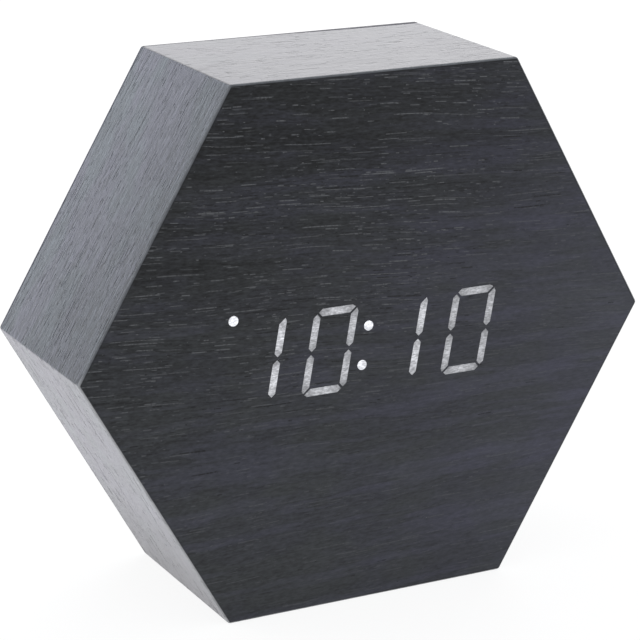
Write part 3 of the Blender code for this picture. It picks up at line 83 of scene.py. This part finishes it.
class Material:
    """Builds a node material. Values may be numbers, colours or sockets of other nodes."""

    def __init__(self, name):
        self.material = bpy.data.materials.new(name)
        self.material.use_nodes = True
        self.tree = self.material.node_tree
        self.shader = self.tree.nodes["Principled BSDF"]
        self.output = self.tree.nodes["Material Output"]

    def add(self, kind, inputs=None, **settings):
        made = self.tree.nodes.new(kind)
        for key, value in settings.items():
            setattr(made, key, value)
        for key, value in (inputs or {}).items():
            self.feed(made.inputs[key], value)
        return made

    def feed(self, socket, value):
        if isinstance(value, bpy.types.NodeSocket):
            self.tree.links.new(value, socket)
        else:
            socket.default_value = value

    def set(self, **values):
        for key, value in values.items():
            self.feed(self.shader.inputs[key.replace("_", " ")], value)

    def position(self, turn=0.0):
        """Place in millimetres from the middle of the case, after a turn about Y that levels a panel."""
        source = self.add("ShaderNodeTexCoord").outputs["Object"]
        levelling = Matrix.Rotation(-turn, 3, "Y")
        mapping = self.add("ShaderNodeMapping", {
            "Vector": source,
            "Location": -(levelling @ (CENTRE / MM)),
            "Rotation": (0, -turn, 0),
            "Scale": (1 / MM, 1 / MM, 1 / MM),
        }, vector_type="POINT")
        return mapping.outputs["Vector"]

    def stretched(self, vector, scale):
        return self.add("ShaderNodeVectorMath", {0: vector, 1: scale}, operation="MULTIPLY").outputs[0]

    def noise(self, vector, scale, detail=0.0, roughness=0.5, lacunarity=2.0):
        made = self.add("ShaderNodeTexNoise", {
            "Vector": self.stretched(vector, scale),
            "Scale": 1.0,
            "Detail": detail,
            "Roughness": roughness,
            "Lacunarity": lacunarity,
        })
        return made.outputs["Fac"]

    def math(self, operation, first, second=0.0):
        return self.add("ShaderNodeMath", {0: first, 1: second}, operation=operation).outputs[0]

    def plus(self, first, second):
        return self.math("ADD", first, second)

    def minus(self, first, second):
        return self.math("SUBTRACT", first, second)

    def times(self, first, second):
        return self.math("MULTIPLY", first, second)

    def span(self, value, low, high, to_low=0.0, to_high=1.0, eased=True):
        """Carry the range low to high over to another, held at its ends."""
        made = self.add("ShaderNodeMapRange", {
            "Value": value, "From Min": low, "From Max": high, "To Min": to_low, "To Max": to_high,
        }, interpolation_type="SMOOTHSTEP" if eased else "LINEAR")
        return made.outputs["Result"]

    def mix(self, share, first, second):
        made = self.add("ShaderNodeMix", data_type="RGBA")
        self.feed(made.inputs["Factor"], share)
        for socket, value in zip([s for s in made.inputs if s.type == "RGBA"], (first, second)):
            self.feed(socket, value)
        return [s for s in made.outputs if s.type == "RGBA"][0]

    def spot(self, vector):
        """The X, Y and Z of a place."""
        return self.add("ShaderNodeSeparateXYZ", {"Vector": vector}).outputs

    def bump(self, height, distance, strength=1.0):
        made = self.add("ShaderNodeBump", {"Height": height, "Distance": distance, "Strength": strength})
        return made.outputs["Normal"]


def grey(level, blue=1.0):
    """A grey, whose blue is scaled and whose green follows by a third of that."""
    return (level, level * (1 + (blue - 1) / 3), level * blue, 1)


def strokes(made, flow, length, pitch, width, share, seed):
    """Short strokes along X, one at most in each cell of a grid whose rows are shifted at random.

    Flow is the place in millimetres, length and pitch are the cell's size, width is a stroke's thickness,
    and share is the chance that a cell has a stroke. Gives 0 beside the strokes and up to 1 in them.
    """
    part = made.spot(flow)
    across = made.math("DIVIDE", made.plus(part["Z"], part["Y"]), pitch)
    row = made.math("FLOOR", across)
    shift = made.add("ShaderNodeTexWhiteNoise", {"W": made.plus(row, seed)}, noise_dimensions="1D")
    along = made.plus(made.math("DIVIDE", part["X"], length),
                      made.times(shift.outputs["Value"], 37.0))
    cell = made.math("FLOOR", along)
    chances = []
    for turn in range(2):
        key = made.add("ShaderNodeCombineXYZ", {"X": cell, "Y": row, "Z": seed + turn}).outputs[0]
        colour = made.add("ShaderNodeTexWhiteNoise", {"Vector": key}, noise_dimensions="3D").outputs["Color"]
        chances += list(made.add("ShaderNodeSeparateColor", {"Color": colour}).outputs)
    start, reach, lift, present, strength, thickness = chances
    middle = made.span(start, 0, 1, 0.3, 0.7)
    half = made.times(made.math("POWER", reach, 1.6), 0.42)
    from_middle = made.math("ABSOLUTE", made.minus(made.math("FRACT", along), middle))
    ends = made.span(made.minus(half, from_middle), -0.02, 0.05)
    line = made.times(made.minus(lift, 0.5), 0.5)
    off_line = made.minus(made.minus(made.math("FRACT", across), 0.5), line)
    edge = made.times(made.span(thickness, 0, 1, 0.6, 1.25), width / pitch)
    rise = made.math("DIVIDE", made.math("ABSOLUTE", off_line), edge)
    body = made.span(made.minus(1.0, made.math("MINIMUM", rise, 1.0)), 0, 0.8)
    shown = made.math("LESS_THAN", present, share)
    level = made.span(strength, 0, 1, 0.35, 1.0)
    return made.times(made.times(ends, body), made.times(shown, level))


def stroke_layers(made, flow, coarse, share, seed):
    """Long, middling and short strokes together, beaded along their length."""
    layers = None
    for step, (length, pitch, width, part) in enumerate(STROKE_SIZES):
        chance = made.times(share, part)
        layer = strokes(made, flow, length, pitch * coarse, width * coarse, chance, seed + 2 * step)
        layers = layer if layers is None else made.math("MAXIMUM", layers, layer)
    beads = made.span(made.noise(flow, *BEADS), 0.34, 0.56, 0.35, 1.0)
    return made.times(layers, beads)


# Strokes of three kinds: length and pitch of their cells, thickness, and share of the cells that have one
STROKE_SIZES = (
    (15.0, 1.15, 0.16, 0.70),
    (6.5, 0.85, 0.15, 0.80),
    (2.4, 0.75, 0.15, 0.40),
)


def grain_flow(made, place, lean, seed):
    """Place along the grain: its rows wander slowly and lean by a slope."""
    offset = made.add("ShaderNodeVectorMath", {0: place, 1: (31.0 * seed, 17.0 * seed, 23.0 * seed)},
                      operation="ADD").outputs[0]
    drift = made.noise(offset, *DRIFT)
    wander = made.times(made.minus(drift, 0.5), GRAIN_WANDER)
    part = made.spot(place)
    shift = made.plus(wander, made.times(part["X"], lean))
    lifted = made.add("ShaderNodeCombineXYZ", {"Z": shift}).outputs[0]
    return made.add("ShaderNodeVectorMath", {0: offset, 1: lifted}, operation="ADD").outputs[0]


GRAIN_WANDER = 3.0  # millimetres


def shaded(made, level, hue, plain_tint, violet_tint):
    """A level of grey given the tint of the stain."""
    tint = made.mix(hue, plain_tint, violet_tint)
    return made.add("ShaderNodeVectorMath", {0: tint, "Scale": level}, operation="SCALE").outputs[0]


# Noises of the grain: waves in a millimetre along it and across it, octaves, and roughness of the octaves
DRIFT = ((0.02, 0.05, 0.05), 2, 0.5)
BANDS = ((0.012, 0.13, 0.13), 3, 0.55)
PATCHES = ((0.05, 0.12, 0.12), 2, 0.5)
FRONT_FIBRES = ((0.22, 2.2, 2.2), 2, 0.65)
FRONT_SPECKLE = ((0.8, 2.6, 2.6), 1, 0.6)
FRONT_RIPPLE = ((0.020, 0.24, 0.24), 3, 0.6)
FRONT_HUE = ((0.07, 0.11, 0.11), 2, 0.5)
SIDE_HUE = ((0.05, 0.10, 0.10), 2, 0.5)
EDGE_WEAR = ((0.30, 0.30, 0.30), 3, 0.7)
CUT_WEAR = ((0.35, 0.35, 0.35), 3, 0.7)
BEADS = ((1.5, 0.8, 0.8), 2, 0.7)


def front_finish():
    """Front veneer: fine pale strokes over near-black wood, denser towards the top left."""
    made = Material("front_veneer_grain")
    place = made.position()
    spot = made.spot(place)
    lean = made.span(spot["Z"], -38, 4, -0.025, 0.061)
    flow = grain_flow(made, place, lean, 0)
    fibres = made.noise(flow, *FRONT_FIBRES)
    speckle = made.noise(flow, *FRONT_SPECKLE)
    ripple = made.noise(flow, *FRONT_RIPPLE)
    figure = made.span(made.math("ABSOLUTE", made.minus(ripple, 0.5)), 0.0, 0.045, 1.0, 0.0)
    bands = made.noise(flow, *BANDS)
    patches = made.noise(flow, *PATCHES)
    hue = made.span(made.noise(place, *FRONT_HUE), 0.42, 0.58)

    rightward = made.span(spot["X"], -60, 60, eased=False)
    slope = made.minus(spot["X"], made.times(spot["Z"], 0.6))
    near_left = made.span(slope, -8, 20, 1.0, 0.30)
    height = made.math("MAXIMUM", made.span(spot["Z"], -30, 26, 0.30, 1.0),
                       made.span(spot["X"], -58, -34, 0.62, 0.0))
    force = made.times(near_left, height)

    # Painted light and shade: the wood's level is darker towards the top and lighter towards the right, where
    # the floor lights the front
    base = made.plus(made.span(spot["Z"], 0, 52, 0.0080, -0.0115),
                     made.span(rightward, 0, 1, 0.0205, 0.0385, eased=False))
    base = made.plus(base, made.times(made.minus(bands, 0.5), 0.022))
    base = made.plus(base, made.times(made.minus(ripple, 0.5), 0.050))
    base = made.minus(base, made.times(figure, made.span(spot["Z"], -10, 30, 0.0085, 0.0020)))
    # Painted light: lighter still at the far right and towards the bottom
    base = made.plus(base, made.span(spot["X"], 22, 58, 0.0, 0.0065))
    base = made.plus(base, made.span(spot["Z"], -40, 24, 0.0085, 0.0))
    swing = made.span(spot["X"], -30, 45, 0.090, 0.068)
    grain = made.plus(made.times(fibres, 0.45), made.times(speckle, 0.55))
    level = made.plus(base, made.times(made.minus(grain, 0.5), swing))
    level = made.math("MAXIMUM", level, 0.0015)
    violet = made.plus(made.times(hue, 0.3), made.times(rightward, 0.55))
    violet = made.plus(violet, made.span(ripple, 0.44, 0.62, -0.20, 0.25))
    wood = shaded(made, level, made.math("MAXIMUM", violet, 0.0), *FRONT_TINTS)

    share = made.times(made.span(patches, 0.36, 0.58, 0.35, 1.0), made.span(force, 0.0, 0.9, 0.70, 1.0))
    dark_lines = stroke_layers(made, flow, 1.15, made.times(share, made.span(force, 0.2, 0.8, 0.1, 0.9)), 41)
    wood = made.mix(dark_lines, wood, FRONT_HOLLOW)
    pale_lines = stroke_layers(made, flow, 1.0, share, 1)
    wood = made.mix(made.times(pale_lines, made.span(force, 0.1, 0.9, 0.38, 1.0)), wood, FRONT_PORE)
    # Painted shade: a dark line just inside the outline, strong on the right and faint on the left, in the
    # colour of an unlit hollow
    rim = made.span(hexagon_edge(made, spot), 0.42, 0.66, 1.0, 0.0)
    wood = made.mix(made.times(rim, made.span(spot["X"], -5, 5, 0.25, 0.9)), wood, FRONT_HOLLOW)
    cut_edge = made.span(spot["Y"], FRONT_FACE + 0.02, FRONT_FACE + 0.08)
    broken = made.span(made.noise(place, *CUT_WEAR), 0.38, 0.60, 0.72, 1.0)
    # The cut edge: pale wood, with painted light on the lower edges and painted shade on the upper ones
    cut_wood_and_painted_light = made.mix(made.span(spot["Z"], -3, 3), CUT_EDGE_AND_PAINTED_LIGHT[0], CUT_EDGE_AND_PAINTED_LIGHT[1])
    wood = made.mix(made.times(cut_edge, broken), wood, cut_wood_and_painted_light)

    relief = made.minus(made.times(fibres, 0.7), pale_lines)
    made.set(Base_Color=wood, Roughness=made.span(fibres, 0.3, 0.7, 0.52, 0.66), IOR=1.5,
             Normal=made.bump(relief, FRONT_RELIEF))
    made.set(Sheen_Weight=FRONT_SHEEN, Sheen_Roughness=0.5, Sheen_Tint=FRONT_SHEEN_TINT,
             Specular_IOR_Level=0.15)
    return made.material


# Plain and violet tints of the stain on the front and on the side panels
FRONT_TINTS = ((0.94, 1.0, 1.07, 1), (0.98, 0.98, 1.40, 1))
SIDE_TINTS = ((0.90, 1.0, 1.12, 1), (1.0, 0.97, 1.22, 1))

# Stained wood in a pore that catches the light, and in a hollow that doesn't, and the veneer's cut edge, pale
# wood painted lighter on the lower edges and darker on the upper ones as painted light and shade
FRONT_PORE = (0.120, 0.123, 0.130, 1)
FRONT_HOLLOW = (0.0012, 0.0013, 0.0018, 1)
CUT_EDGE_AND_PAINTED_LIGHT = ((0.43, 0.43, 0.44, 1), (0.135, 0.142, 0.156, 1))  # lower and upper edges
FRONT_RELIEF = 0.02 * MM
FRONT_SHEEN = 0.45
FRONT_SHEEN_TINT = (0.93, 0.95, 1.0, 1)
FRONT_FACE = (CASE_LOW.y - CENTRE.y) / MM


def hexagon_edge(made, spot):
    """Distance in millimetres from the outline of the case, for a place drawn from its middle."""
    far = made.math("ABSOLUTE", spot["Z"])
    sideways = made.times(spot["X"], math.cos(math.radians(30)))
    for turn in (-0.5, 0.5):
        across = made.plus(sideways, made.times(spot["Z"], turn))
        far = made.math("MAXIMUM", far, made.math("ABSOLUTE", across))
    return made.minus(APOTHEM, far)


APOTHEM = CENTRE.z / MM


def side_finish(name, seed, turn, coarse, tint, sheen, lean, level, painted_light_to_front, painted_light_to_end, end_start, swing, relief,
                pores, arris_and_reflection_start):
    """Side veneer, whose grain runs along the panel: dark and pale fibres with open pores."""
    made = Material(name)
    place = made.position(math.radians(turn))
    spot = made.spot(place)
    flow = grain_flow(made, place, lean, seed)
    fibres = made.noise(flow, (0.20, 1.6 / coarse, 1.6 / coarse), detail=3, roughness=0.7)
    speckle = made.noise(flow, (0.9, 2.2 / coarse, 2.2 / coarse), detail=2, roughness=0.7)
    bands = made.noise(flow, *BANDS)
    patches = made.noise(flow, *PATCHES)
    hue = made.span(made.noise(place, *SIDE_HUE), 0.40, 0.60)
    frontward = made.span(spot["Y"], 21, -21, eased=False)
    endward = made.span(spot["X"], end_start, -32, eased=False)

    # Painted light and shade: the panel's level, and its change towards the front and towards one end, follow
    # how the face is lit
    change = made.plus(made.times(frontward, painted_light_to_front), made.times(endward, painted_light_to_end))
    change = made.plus(change, made.times(made.minus(bands, 0.5), 0.05))
    grain = made.plus(made.times(fibres, 0.65), made.times(speckle, 0.35))
    change = made.plus(change, made.times(made.minus(grain, 0.5), swing))
    shade = made.math("MAXIMUM", made.plus(change, level), 0.003)
    violet = made.minus(made.times(hue, 1.3), made.times(frontward, 0.6))
    wood = shaded(made, shade, violet, *SIDE_TINTS)
    share = made.times(made.span(patches, 0.36, 0.58, 0.35, 1.0), pores)
    dark_lines = stroke_layers(made, flow, coarse, share, seed + 1)
    wood = made.mix(made.times(dark_lines, pores), wood, SIDE_PORE)
    # Painted dark reflection along the back arris, on the outer face only; the arris also rises in the bump
    # below
    rim = made.minus(spot["Y"], made.span(spot["X"], -12, 26, *arris_and_reflection_start))
    outside = made.span(spot["Z"], APOTHEM - 0.5, APOTHEM - 0.1, 0.0, 0.8)
    wood = made.mix(made.times(made.span(rim, 0.0, 0.4), outside), wood, PAINTED_ARRIS_REFLECTION)
    wood = worn_edges(made, wood, spot, place)

    height = made.minus(made.plus(made.times(fibres, 0.9), made.times(speckle, 0.5)), dark_lines)
    rise = made.times(made.math("MAXIMUM", rim, 0.0), ARRIS_SLOPE * MM / relief)
    height = made.plus(height, rise)
    made.set(Base_Color=wood, Roughness=made.span(fibres, 0.3, 0.7, 0.52, 0.66), IOR=1.5,
             Normal=made.bump(height, relief))
    made.set(Sheen_Weight=sheen, Sheen_Roughness=0.5, Sheen_Tint=tint, Specular_IOR_Level=0.3)
    return made.material


ARRIS_SLOPE = 0.42  # rise of the back arris for each millimetre towards the back


def worn_edges(made, wood, spot, place):
    """Rub the stain off some spots of a side panel's four sharp edges and leave others bruised dark."""
    from_ends = made.minus(SIDE / MM / 2, made.math("ABSOLUTE", spot["X"]))
    from_front = made.plus(spot["Y"], -CASE_LOW.y / MM)
    nearest = made.math("MINIMUM", from_ends, from_front)
    along = made.noise(place, *EDGE_WEAR)
    pale = made.times(made.span(nearest, 0.05, 0.28, 1.0, 0.0), made.span(along, 0.60, 0.68))
    bruise = made.times(made.span(nearest, 0.10, 0.50, 1.0, 0.0), made.span(along, 0.40, 0.33))
    wood = made.mix(made.times(bruise, 0.7), wood, SIDE_PORE)
    return made.mix(made.times(pale, 0.8), wood, BARE_WOOD)


BARE_WOOD = (0.42, 0.40, 0.38, 1)
SIDE_PORE = (0.0020, 0.0022, 0.0030, 1)
# Painted dark reflection on the back arris of a side panel
PAINTED_ARRIS_REFLECTION = (0.034, 0.028, 0.060, 1)


def lit_plastic(name, level, middle=None):
    """Light seen through the veneer: white, mottled by the wood fibres over it and brightest at each diode.

    Middle is the place of a digit across the display in millimetres. The dots have none, and are even.
    """
    made = Material(name)
    place = made.position()
    clouds = made.noise(place, (0.8, 1.1, 1.1), detail=3, roughness=0.7)
    fibres = made.noise(place, (0.7, 4.0, 4.0), detail=2, roughness=0.7)
    shade = made.times(made.span(clouds, *MOTTLE, 0.68, 1.20), made.span(fibres, *MOTTLE, 0.66, 1.20))
    if middle is not None:
        spot = made.spot(place)
        rise = made.plus(spot["Z"], DISPLAY_DROP)
        slide = made.minus(spot["X"], made.plus(middle, made.times(rise, DISPLAY_SLANT)))
        corner = made.add("ShaderNodeCombineXYZ", {
            "X": made.math("ABSOLUTE", slide),
            "Y": made.math("ABSOLUTE", rise),
        }).outputs[0]
        gaps = [
            made.add("ShaderNodeVectorMath", {0: corner, 1: diode}, operation="DISTANCE").outputs["Value"]
            for diode in BAR_DIODES
        ]
        nearest = made.math("MINIMUM", *gaps)
        shade = made.times(shade, made.span(nearest, 0.3, 3.8, 1.22, 0.76))
    made.set(Base_Color=(0.05, 0.05, 0.055, 1), Roughness=0.5, Emission_Color=(0.93, 0.945, 1.0, 1),
             Emission_Strength=made.times(shade, level))
    return made.material


# The display in millimetres: its drop below the middle of the case, how far it leans to the right for each
# millimetre of height, the middle of each digit with its brightness, and the diodes of a digit's upper right
# quarter
DISPLAY_DROP = 0.5
DISPLAY_SLANT = 0.168
DIGITS = ((-26.2, 0.53), (-9.9, 0.41), (6.4, 0.53), (22.7, 0.37))
BAR_DIODES = ((4.3, 4.4, 0), (0, 8.3, 0))
DOT_LEVEL = 1.0
MOTTLE = (0.34, 0.64)  # range of a noise that is carried over to brightness


def moulded_plastic(name, level, roughness=0.5, blue=1.0):
    """Fine spark-eroded texture of a plastic moulding."""
    made = Material(name)
    place = made.position()
    grain = made.noise(place, (5.0, 5.0, 5.0), detail=2, roughness=0.6)
    cloud = made.noise(place, (0.08, 0.08, 0.08), detail=2)
    made.set(Base_Color=made.mix(cloud, grey(level * 0.85, blue), grey(level * 1.2, blue)),
             Roughness=made.span(cloud, 0.3, 0.7, roughness - 0.05, roughness + 0.07),
             Normal=made.bump(grain, 0.03 * MM, 0.55))
    return made.material


def plain(name, colour, roughness, metallic=0.0, grain=3.0, depth=0.01 * MM):
    """Small inner parts: a colour with slight blotches and fine surface grain."""
    made = Material(name)
    place = made.position()
    cloud = made.noise(place, (0.3, 0.3, 0.3), detail=3)
    fine = made.noise(place, (grain, grain, grain), detail=2)
    dark = tuple(0.86 * c for c in colour) + (1,)
    light = tuple(min(1.0, 1.12 * c) for c in colour) + (1,)
    made.set(Base_Color=made.mix(cloud, dark, light), Metallic=metallic,
             Roughness=made.span(fine, 0.3, 0.7, roughness - 0.05, roughness + 0.08),
             Normal=made.bump(fine, depth, 0.5))
    return made.material


def button_plastic(name):
    """Moulded cap whose raised mark is printed pale."""
    made = Material(name)
    place = made.position()
    height = made.spot(place)["Y"]
    grain = made.noise(place, (5.0, 5.0, 5.0), detail=2, roughness=0.6)
    wear = made.span(made.noise(place, (2.2, 2.2, 2.2), detail=3, roughness=0.7), 0.34, 0.46, 0.55, 1.0)
    printed = made.times(made.span(height, MARK_FOOT, MARK_FOOT + 0.05), wear)
    made.set(Base_Color=made.mix(printed, grey(0.030), grey(0.55, 1.03)),
             Roughness=made.span(grain, 0.3, 0.7, 0.36, 0.46), Normal=made.bump(grain, 0.02 * MM, 0.5))
    return made.material


# A little above the caps' face, in millimetres from the middle of the case towards the back
MARK_FOOT = -0.38 - CASE_LOW.y / MM


def cell_sleeve(name, low, high, nub_side):
    """Battery cell: bare metal at both ends, a dark sleeve with a pale band next to the nub.

    Low and high are its ends along X in millimetres from the middle of the case.
    """
    made = Material(name)
    place = made.position()
    spot = made.spot(place)
    start, end = (low, high) if nub_side > 0 else (high, low)
    share = made.span(spot["X"], start, end, eased=False)
    scuffs = made.noise(place, (0.5, 4.0, 4.0), detail=3, roughness=0.7)
    band, ring, flat_cap, nub_cap = CELL_MARKS
    printed = made.math("MAXIMUM", stripe(made, share, *band), stripe(made, share, *ring))
    metal = made.math("MAXIMUM", made.span(share, *flat_cap), made.span(share, *nub_cap))
    sleeve = made.mix(scuffs, *SLEEVE_BLUES)
    sleeve = made.mix(printed, sleeve, PRINT_GREY)
    made.set(Base_Color=made.mix(metal, sleeve, (*NICKEL, 1)), Metallic=metal,
             Roughness=made.span(scuffs, 0.3, 0.7, 0.26, 0.36), Normal=made.bump(scuffs, 0.01 * MM, 0.5))
    return made.material


def stripe(made, share, start, end):
    """1 between two shares of a length and 0 outside them."""
    return made.minus(made.span(share, start, start + 0.005), made.span(share, end, end + 0.005))


# Shares of a cell's length from its flat end: the printed band and ring, and where the metal of its flat end
# ends and that of its nub end starts
CELL_MARKS = ((0.70, 0.90), (0.655, 0.675), (0.022, 0.016), (0.955, 0.962))
SLEEVE_BLUES = ((0.030, 0.075, 0.165, 1), (0.050, 0.115, 0.230, 1))
PRINT_GREY = (0.55, 0.56, 0.57, 1)
NICKEL = (0.60, 0.59, 0.56)


def assign(name, material):
    """Put a material in all of a node's slots."""
    obj = nodes[name]
    if not obj.data.materials:
        obj.data.materials.append(material)
    obj.data.materials[0] = material
    for index in range(1, len(obj.material_slots)):
        obj.material_slots[index].material = material


# Each side panel: turn from level in degrees, coarseness of its pores, tint and weight of its sheen, lean of
# the grain, level of the wood and how that changes towards the front and towards one end from end_start on, how
# far the fibres swing about it, depth of the relief, share of open pores, and where the back arris with its
# painted dark reflection starts at either end. The level, its changes and the sheen's tint and weight differ
# from panel to panel as painted light and shade, for how brightly each face is lit; the veneer is the same.
COOL = (0.84, 0.89, 1.0, 1)
NEUTRAL = (0.985, 0.968, 1.0, 1)
PANELS = {
    "side_panel_top": dict(
        turn=0, coarse=1.5, tint=NEUTRAL, sheen=0.95, lean=0.0, level=0.030, painted_light_to_front=-0.03, painted_light_to_end=0.018,
        end_start=32, swing=0.15, relief=0.09 * MM, pores=0.9, arris_and_reflection_start=(20.0, 18.8)),
    "side_panel_upper_right": dict(
        turn=60, coarse=1.4, tint=COOL, sheen=0.7, lean=0.03, level=0.080, painted_light_to_front=0.0, painted_light_to_end=0.0,
        end_start=32, swing=0.24, relief=0.18 * MM, pores=0.9, arris_and_reflection_start=(20.2, 20.2)),
    "side_panel_lower_right": dict(
        turn=120, coarse=1.4, tint=COOL, sheen=0.9, lean=0.0, level=0.060, painted_light_to_front=0.0, painted_light_to_end=0.0,
        end_start=32, swing=0.22, relief=0.18 * MM, pores=0.9, arris_and_reflection_start=(20.2, 20.2)),
    "side_panel_bottom": dict(
        turn=180, coarse=1.4, tint=COOL, sheen=1.0, lean=0.0, level=0.060, painted_light_to_front=0.0, painted_light_to_end=0.0,
        end_start=32, swing=0.20, relief=0.14 * MM, pores=0.9, arris_and_reflection_start=(20.2, 20.2)),
    "side_panel_lower_left": dict(
        turn=240, coarse=1.5, tint=NEUTRAL, sheen=1.0, lean=0.06, level=0.160, painted_light_to_front=0.0, painted_light_to_end=-0.190,
        end_start=-4, swing=0.66, relief=0.30 * MM, pores=0.55, arris_and_reflection_start=(20.0, 20.0)),
    "side_panel_upper_left": dict(
        turn=300, coarse=1.1, tint=COOL, sheen=0.7, lean=0.035, level=0.137, painted_light_to_front=-0.068, painted_light_to_end=-0.042,
        end_start=32, swing=0.46, relief=0.27 * MM, pores=0.95, arris_and_reflection_start=(20.0, 20.0)),
}


def dress_cell(name):
    """Give a cell its sleeve. Its nub points away from the spring behind its flat end."""
    low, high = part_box(name)
    spring = sum(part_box(name.replace("cell", "spring")), Vector())
    nub_side = 1 if spring.x < (low + high).x else -1
    assign(name, cell_sleeve(name + "_sleeve", (low.x - CENTRE.x) / MM, (high.x - CENTRE.x) / MM, nub_side))


def dress_frame():
    """Give each node of the clock its finish."""
    for seed, (name, style) in enumerate(PANELS.items(), start=1):
        assign(name, side_finish(name + "_veneer", seed, **style))
    assign("front_veneer", front_finish())
    for index, (middle, level) in enumerate(DIGITS, start=1):
        assign(f"digit_{index}_light_guide", lit_plastic(f"digit_{index}_light", level, middle))
    assign("colon_light_guide", lit_plastic("colon_light", DOT_LEVEL))
    assign("alarm_dot_light_guide", lit_plastic("alarm_dot_light", DOT_LEVEL))
    cover = moulded_plastic("cover_plastic", 0.022)
    trim = moulded_plastic("trim_plastic", 0.035, 0.42)
    for name in ("rear_cover", "battery_door", "display_light_box"):
        assign(name, cover)
    cap = button_plastic("button_cap")
    for name in ("set_button", "up_button", "down_button"):
        assign(name, cap)
    for name in ("dc_jack", "buzzer", "temperature_sensor", "controller_chip",
                 "set_switch", "up_switch", "down_switch"):
        assign(name, trim)
    steel = plain("nickel_steel", NICKEL, 0.28, 1.0)
    dark_steel = plain("black_screw", (0.05, 0.05, 0.055), 0.38, 0.9)
    board = plain("board_lacquer", (0.015, 0.085, 0.040), 0.3)
    nylon = plain("nylon", (0.70, 0.66, 0.54), 0.45)
    fibreboard = plain("fibreboard", (0.33, 0.22, 0.13), 0.9, depth=0.05 * MM)
    cable = plain("ribbon", (0.28, 0.29, 0.31), 0.5)
    for name in nodes:
        if name.startswith("cover_screw"):
            assign(name, dark_steel)
        elif name.startswith(("display_screw", "board_screw", "battery_spring")) or "contact" in name:
            assign(name, steel)
        elif name.endswith("_plunger") or name in ("microphone", "quartz_crystal", "capacitor"):
            assign(name, steel)
        elif name in ("display_board", "main_board"):
            assign(name, board)
        elif name.endswith("_connector"):
            assign(name, nylon)
        elif name.startswith("battery_cell"):
            dress_cell(name)
    assign("front_board", fibreboard)
    assign("ribbon_cable", cable)
    assign("battery_lead_red", plain("red_wire", (0.45, 0.02, 0.02), 0.4))
    assign("battery_lead_black", plain("black_wire", (0.02, 0.02, 0.02), 0.4))


def ray_share(made, *kinds):
    """1 for rays of the given kinds and 0 for the others."""
    path = made.add("ShaderNodeLightPath")
    share = path.outputs[kinds[0]]
    for kind in kinds[1:]:
        share = made.math("MAXIMUM", share, path.outputs[kind])
    return share


SEEN_RAYS = ("Is Camera Ray", "Is Glossy Ray", "Is Transmission Ray")


def make_world():
    """White for what the camera and reflections see, a softer white for light."""
    world = bpy.data.worlds.new("studio")
    world.use_nodes = True
    made = Material.__new__(Material)
    made.tree = world.node_tree
    made.tree.nodes.clear()
    white = made.add("ShaderNodeBackground", {"Color": (1, 1, 1, 1), "Strength": 1.0})
    soft = made.add("ShaderNodeBackground", {"Color": WORLD_COLOUR, "Strength": WORLD_LIGHT})
    seen = ray_share(made, *SEEN_RAYS)
    mix = made.add("ShaderNodeMixShader", {0: seen, 1: soft.outputs[0], 2: white.outputs[0]})
    made.add("ShaderNodeOutputWorld", {"Surface": mix.outputs[0]})
    bpy.context.scene.world = world


WORLD_LIGHT = 0.75
WORLD_COLOUR = (0.96, 0.98, 1.0, 1)


def area_light(name, place, size, power):
    """Round soft box that faces the clock. Its size and place are in metres."""
    data = bpy.data.lights.new(name, "AREA")
    data.shape = "DISK"
    data.size = size
    data.energy = power
    lamp = bpy.data.objects.new(name, data)
    bpy.context.scene.collection.objects.link(lamp)
    lamp.location = place
    lamp.rotation_euler = (Vector(place) - CENTRE).to_track_quat("Z", "Y").to_euler()


# Place in metres and power in watts of each lamp
LAMP_SIZE = 1.0
LAMPS = {
    "left_back": ((-1.0, 0.9, 0.1), 9.0),
    "left": ((-1.3, 0.35, 0.15), 3.0),
    "right_back": ((0.9, 0.9, 0.5), 6.0),
}


def make_floor():
    """Pale floor that the camera sees as white and that keeps the clock's shadow."""
    bpy.ops.mesh.primitive_plane_add(size=FLOOR_SIZE, location=(0, 0, 0))
    floor = bpy.context.object
    floor.name = "studio_floor"
    made = Material("floor_white")
    seen = ray_share(made, *SEEN_RAYS)
    made.set(Base_Color=made.mix(seen, FLOOR_WHITE, FLOOR_SEEN), Roughness=0.9,
             Specular_IOR_Level=0.0, Emission_Color=(1, 1, 1, 1),
             Emission_Strength=made.times(seen, FLOOR_LIFT))
    floor.data.materials.append(made.material)


# Floor as it lights the clock, and as it is seen: a grey that the emission lifts to white
FLOOR_WHITE = (0.85, 0.85, 0.85, 1)
FLOOR_SEEN = (0.20, 0.20, 0.20, 1)
FLOOR_LIFT = 0.86
FLOOR_SIZE = 6.0


bpy.context.scene.view_settings.view_transform = "Standard"
make_camera()
dress_frame()
make_world()
for name, (place, power) in LAMPS.items():
    area_light(name, place, LAMP_SIZE, power)
make_floor()
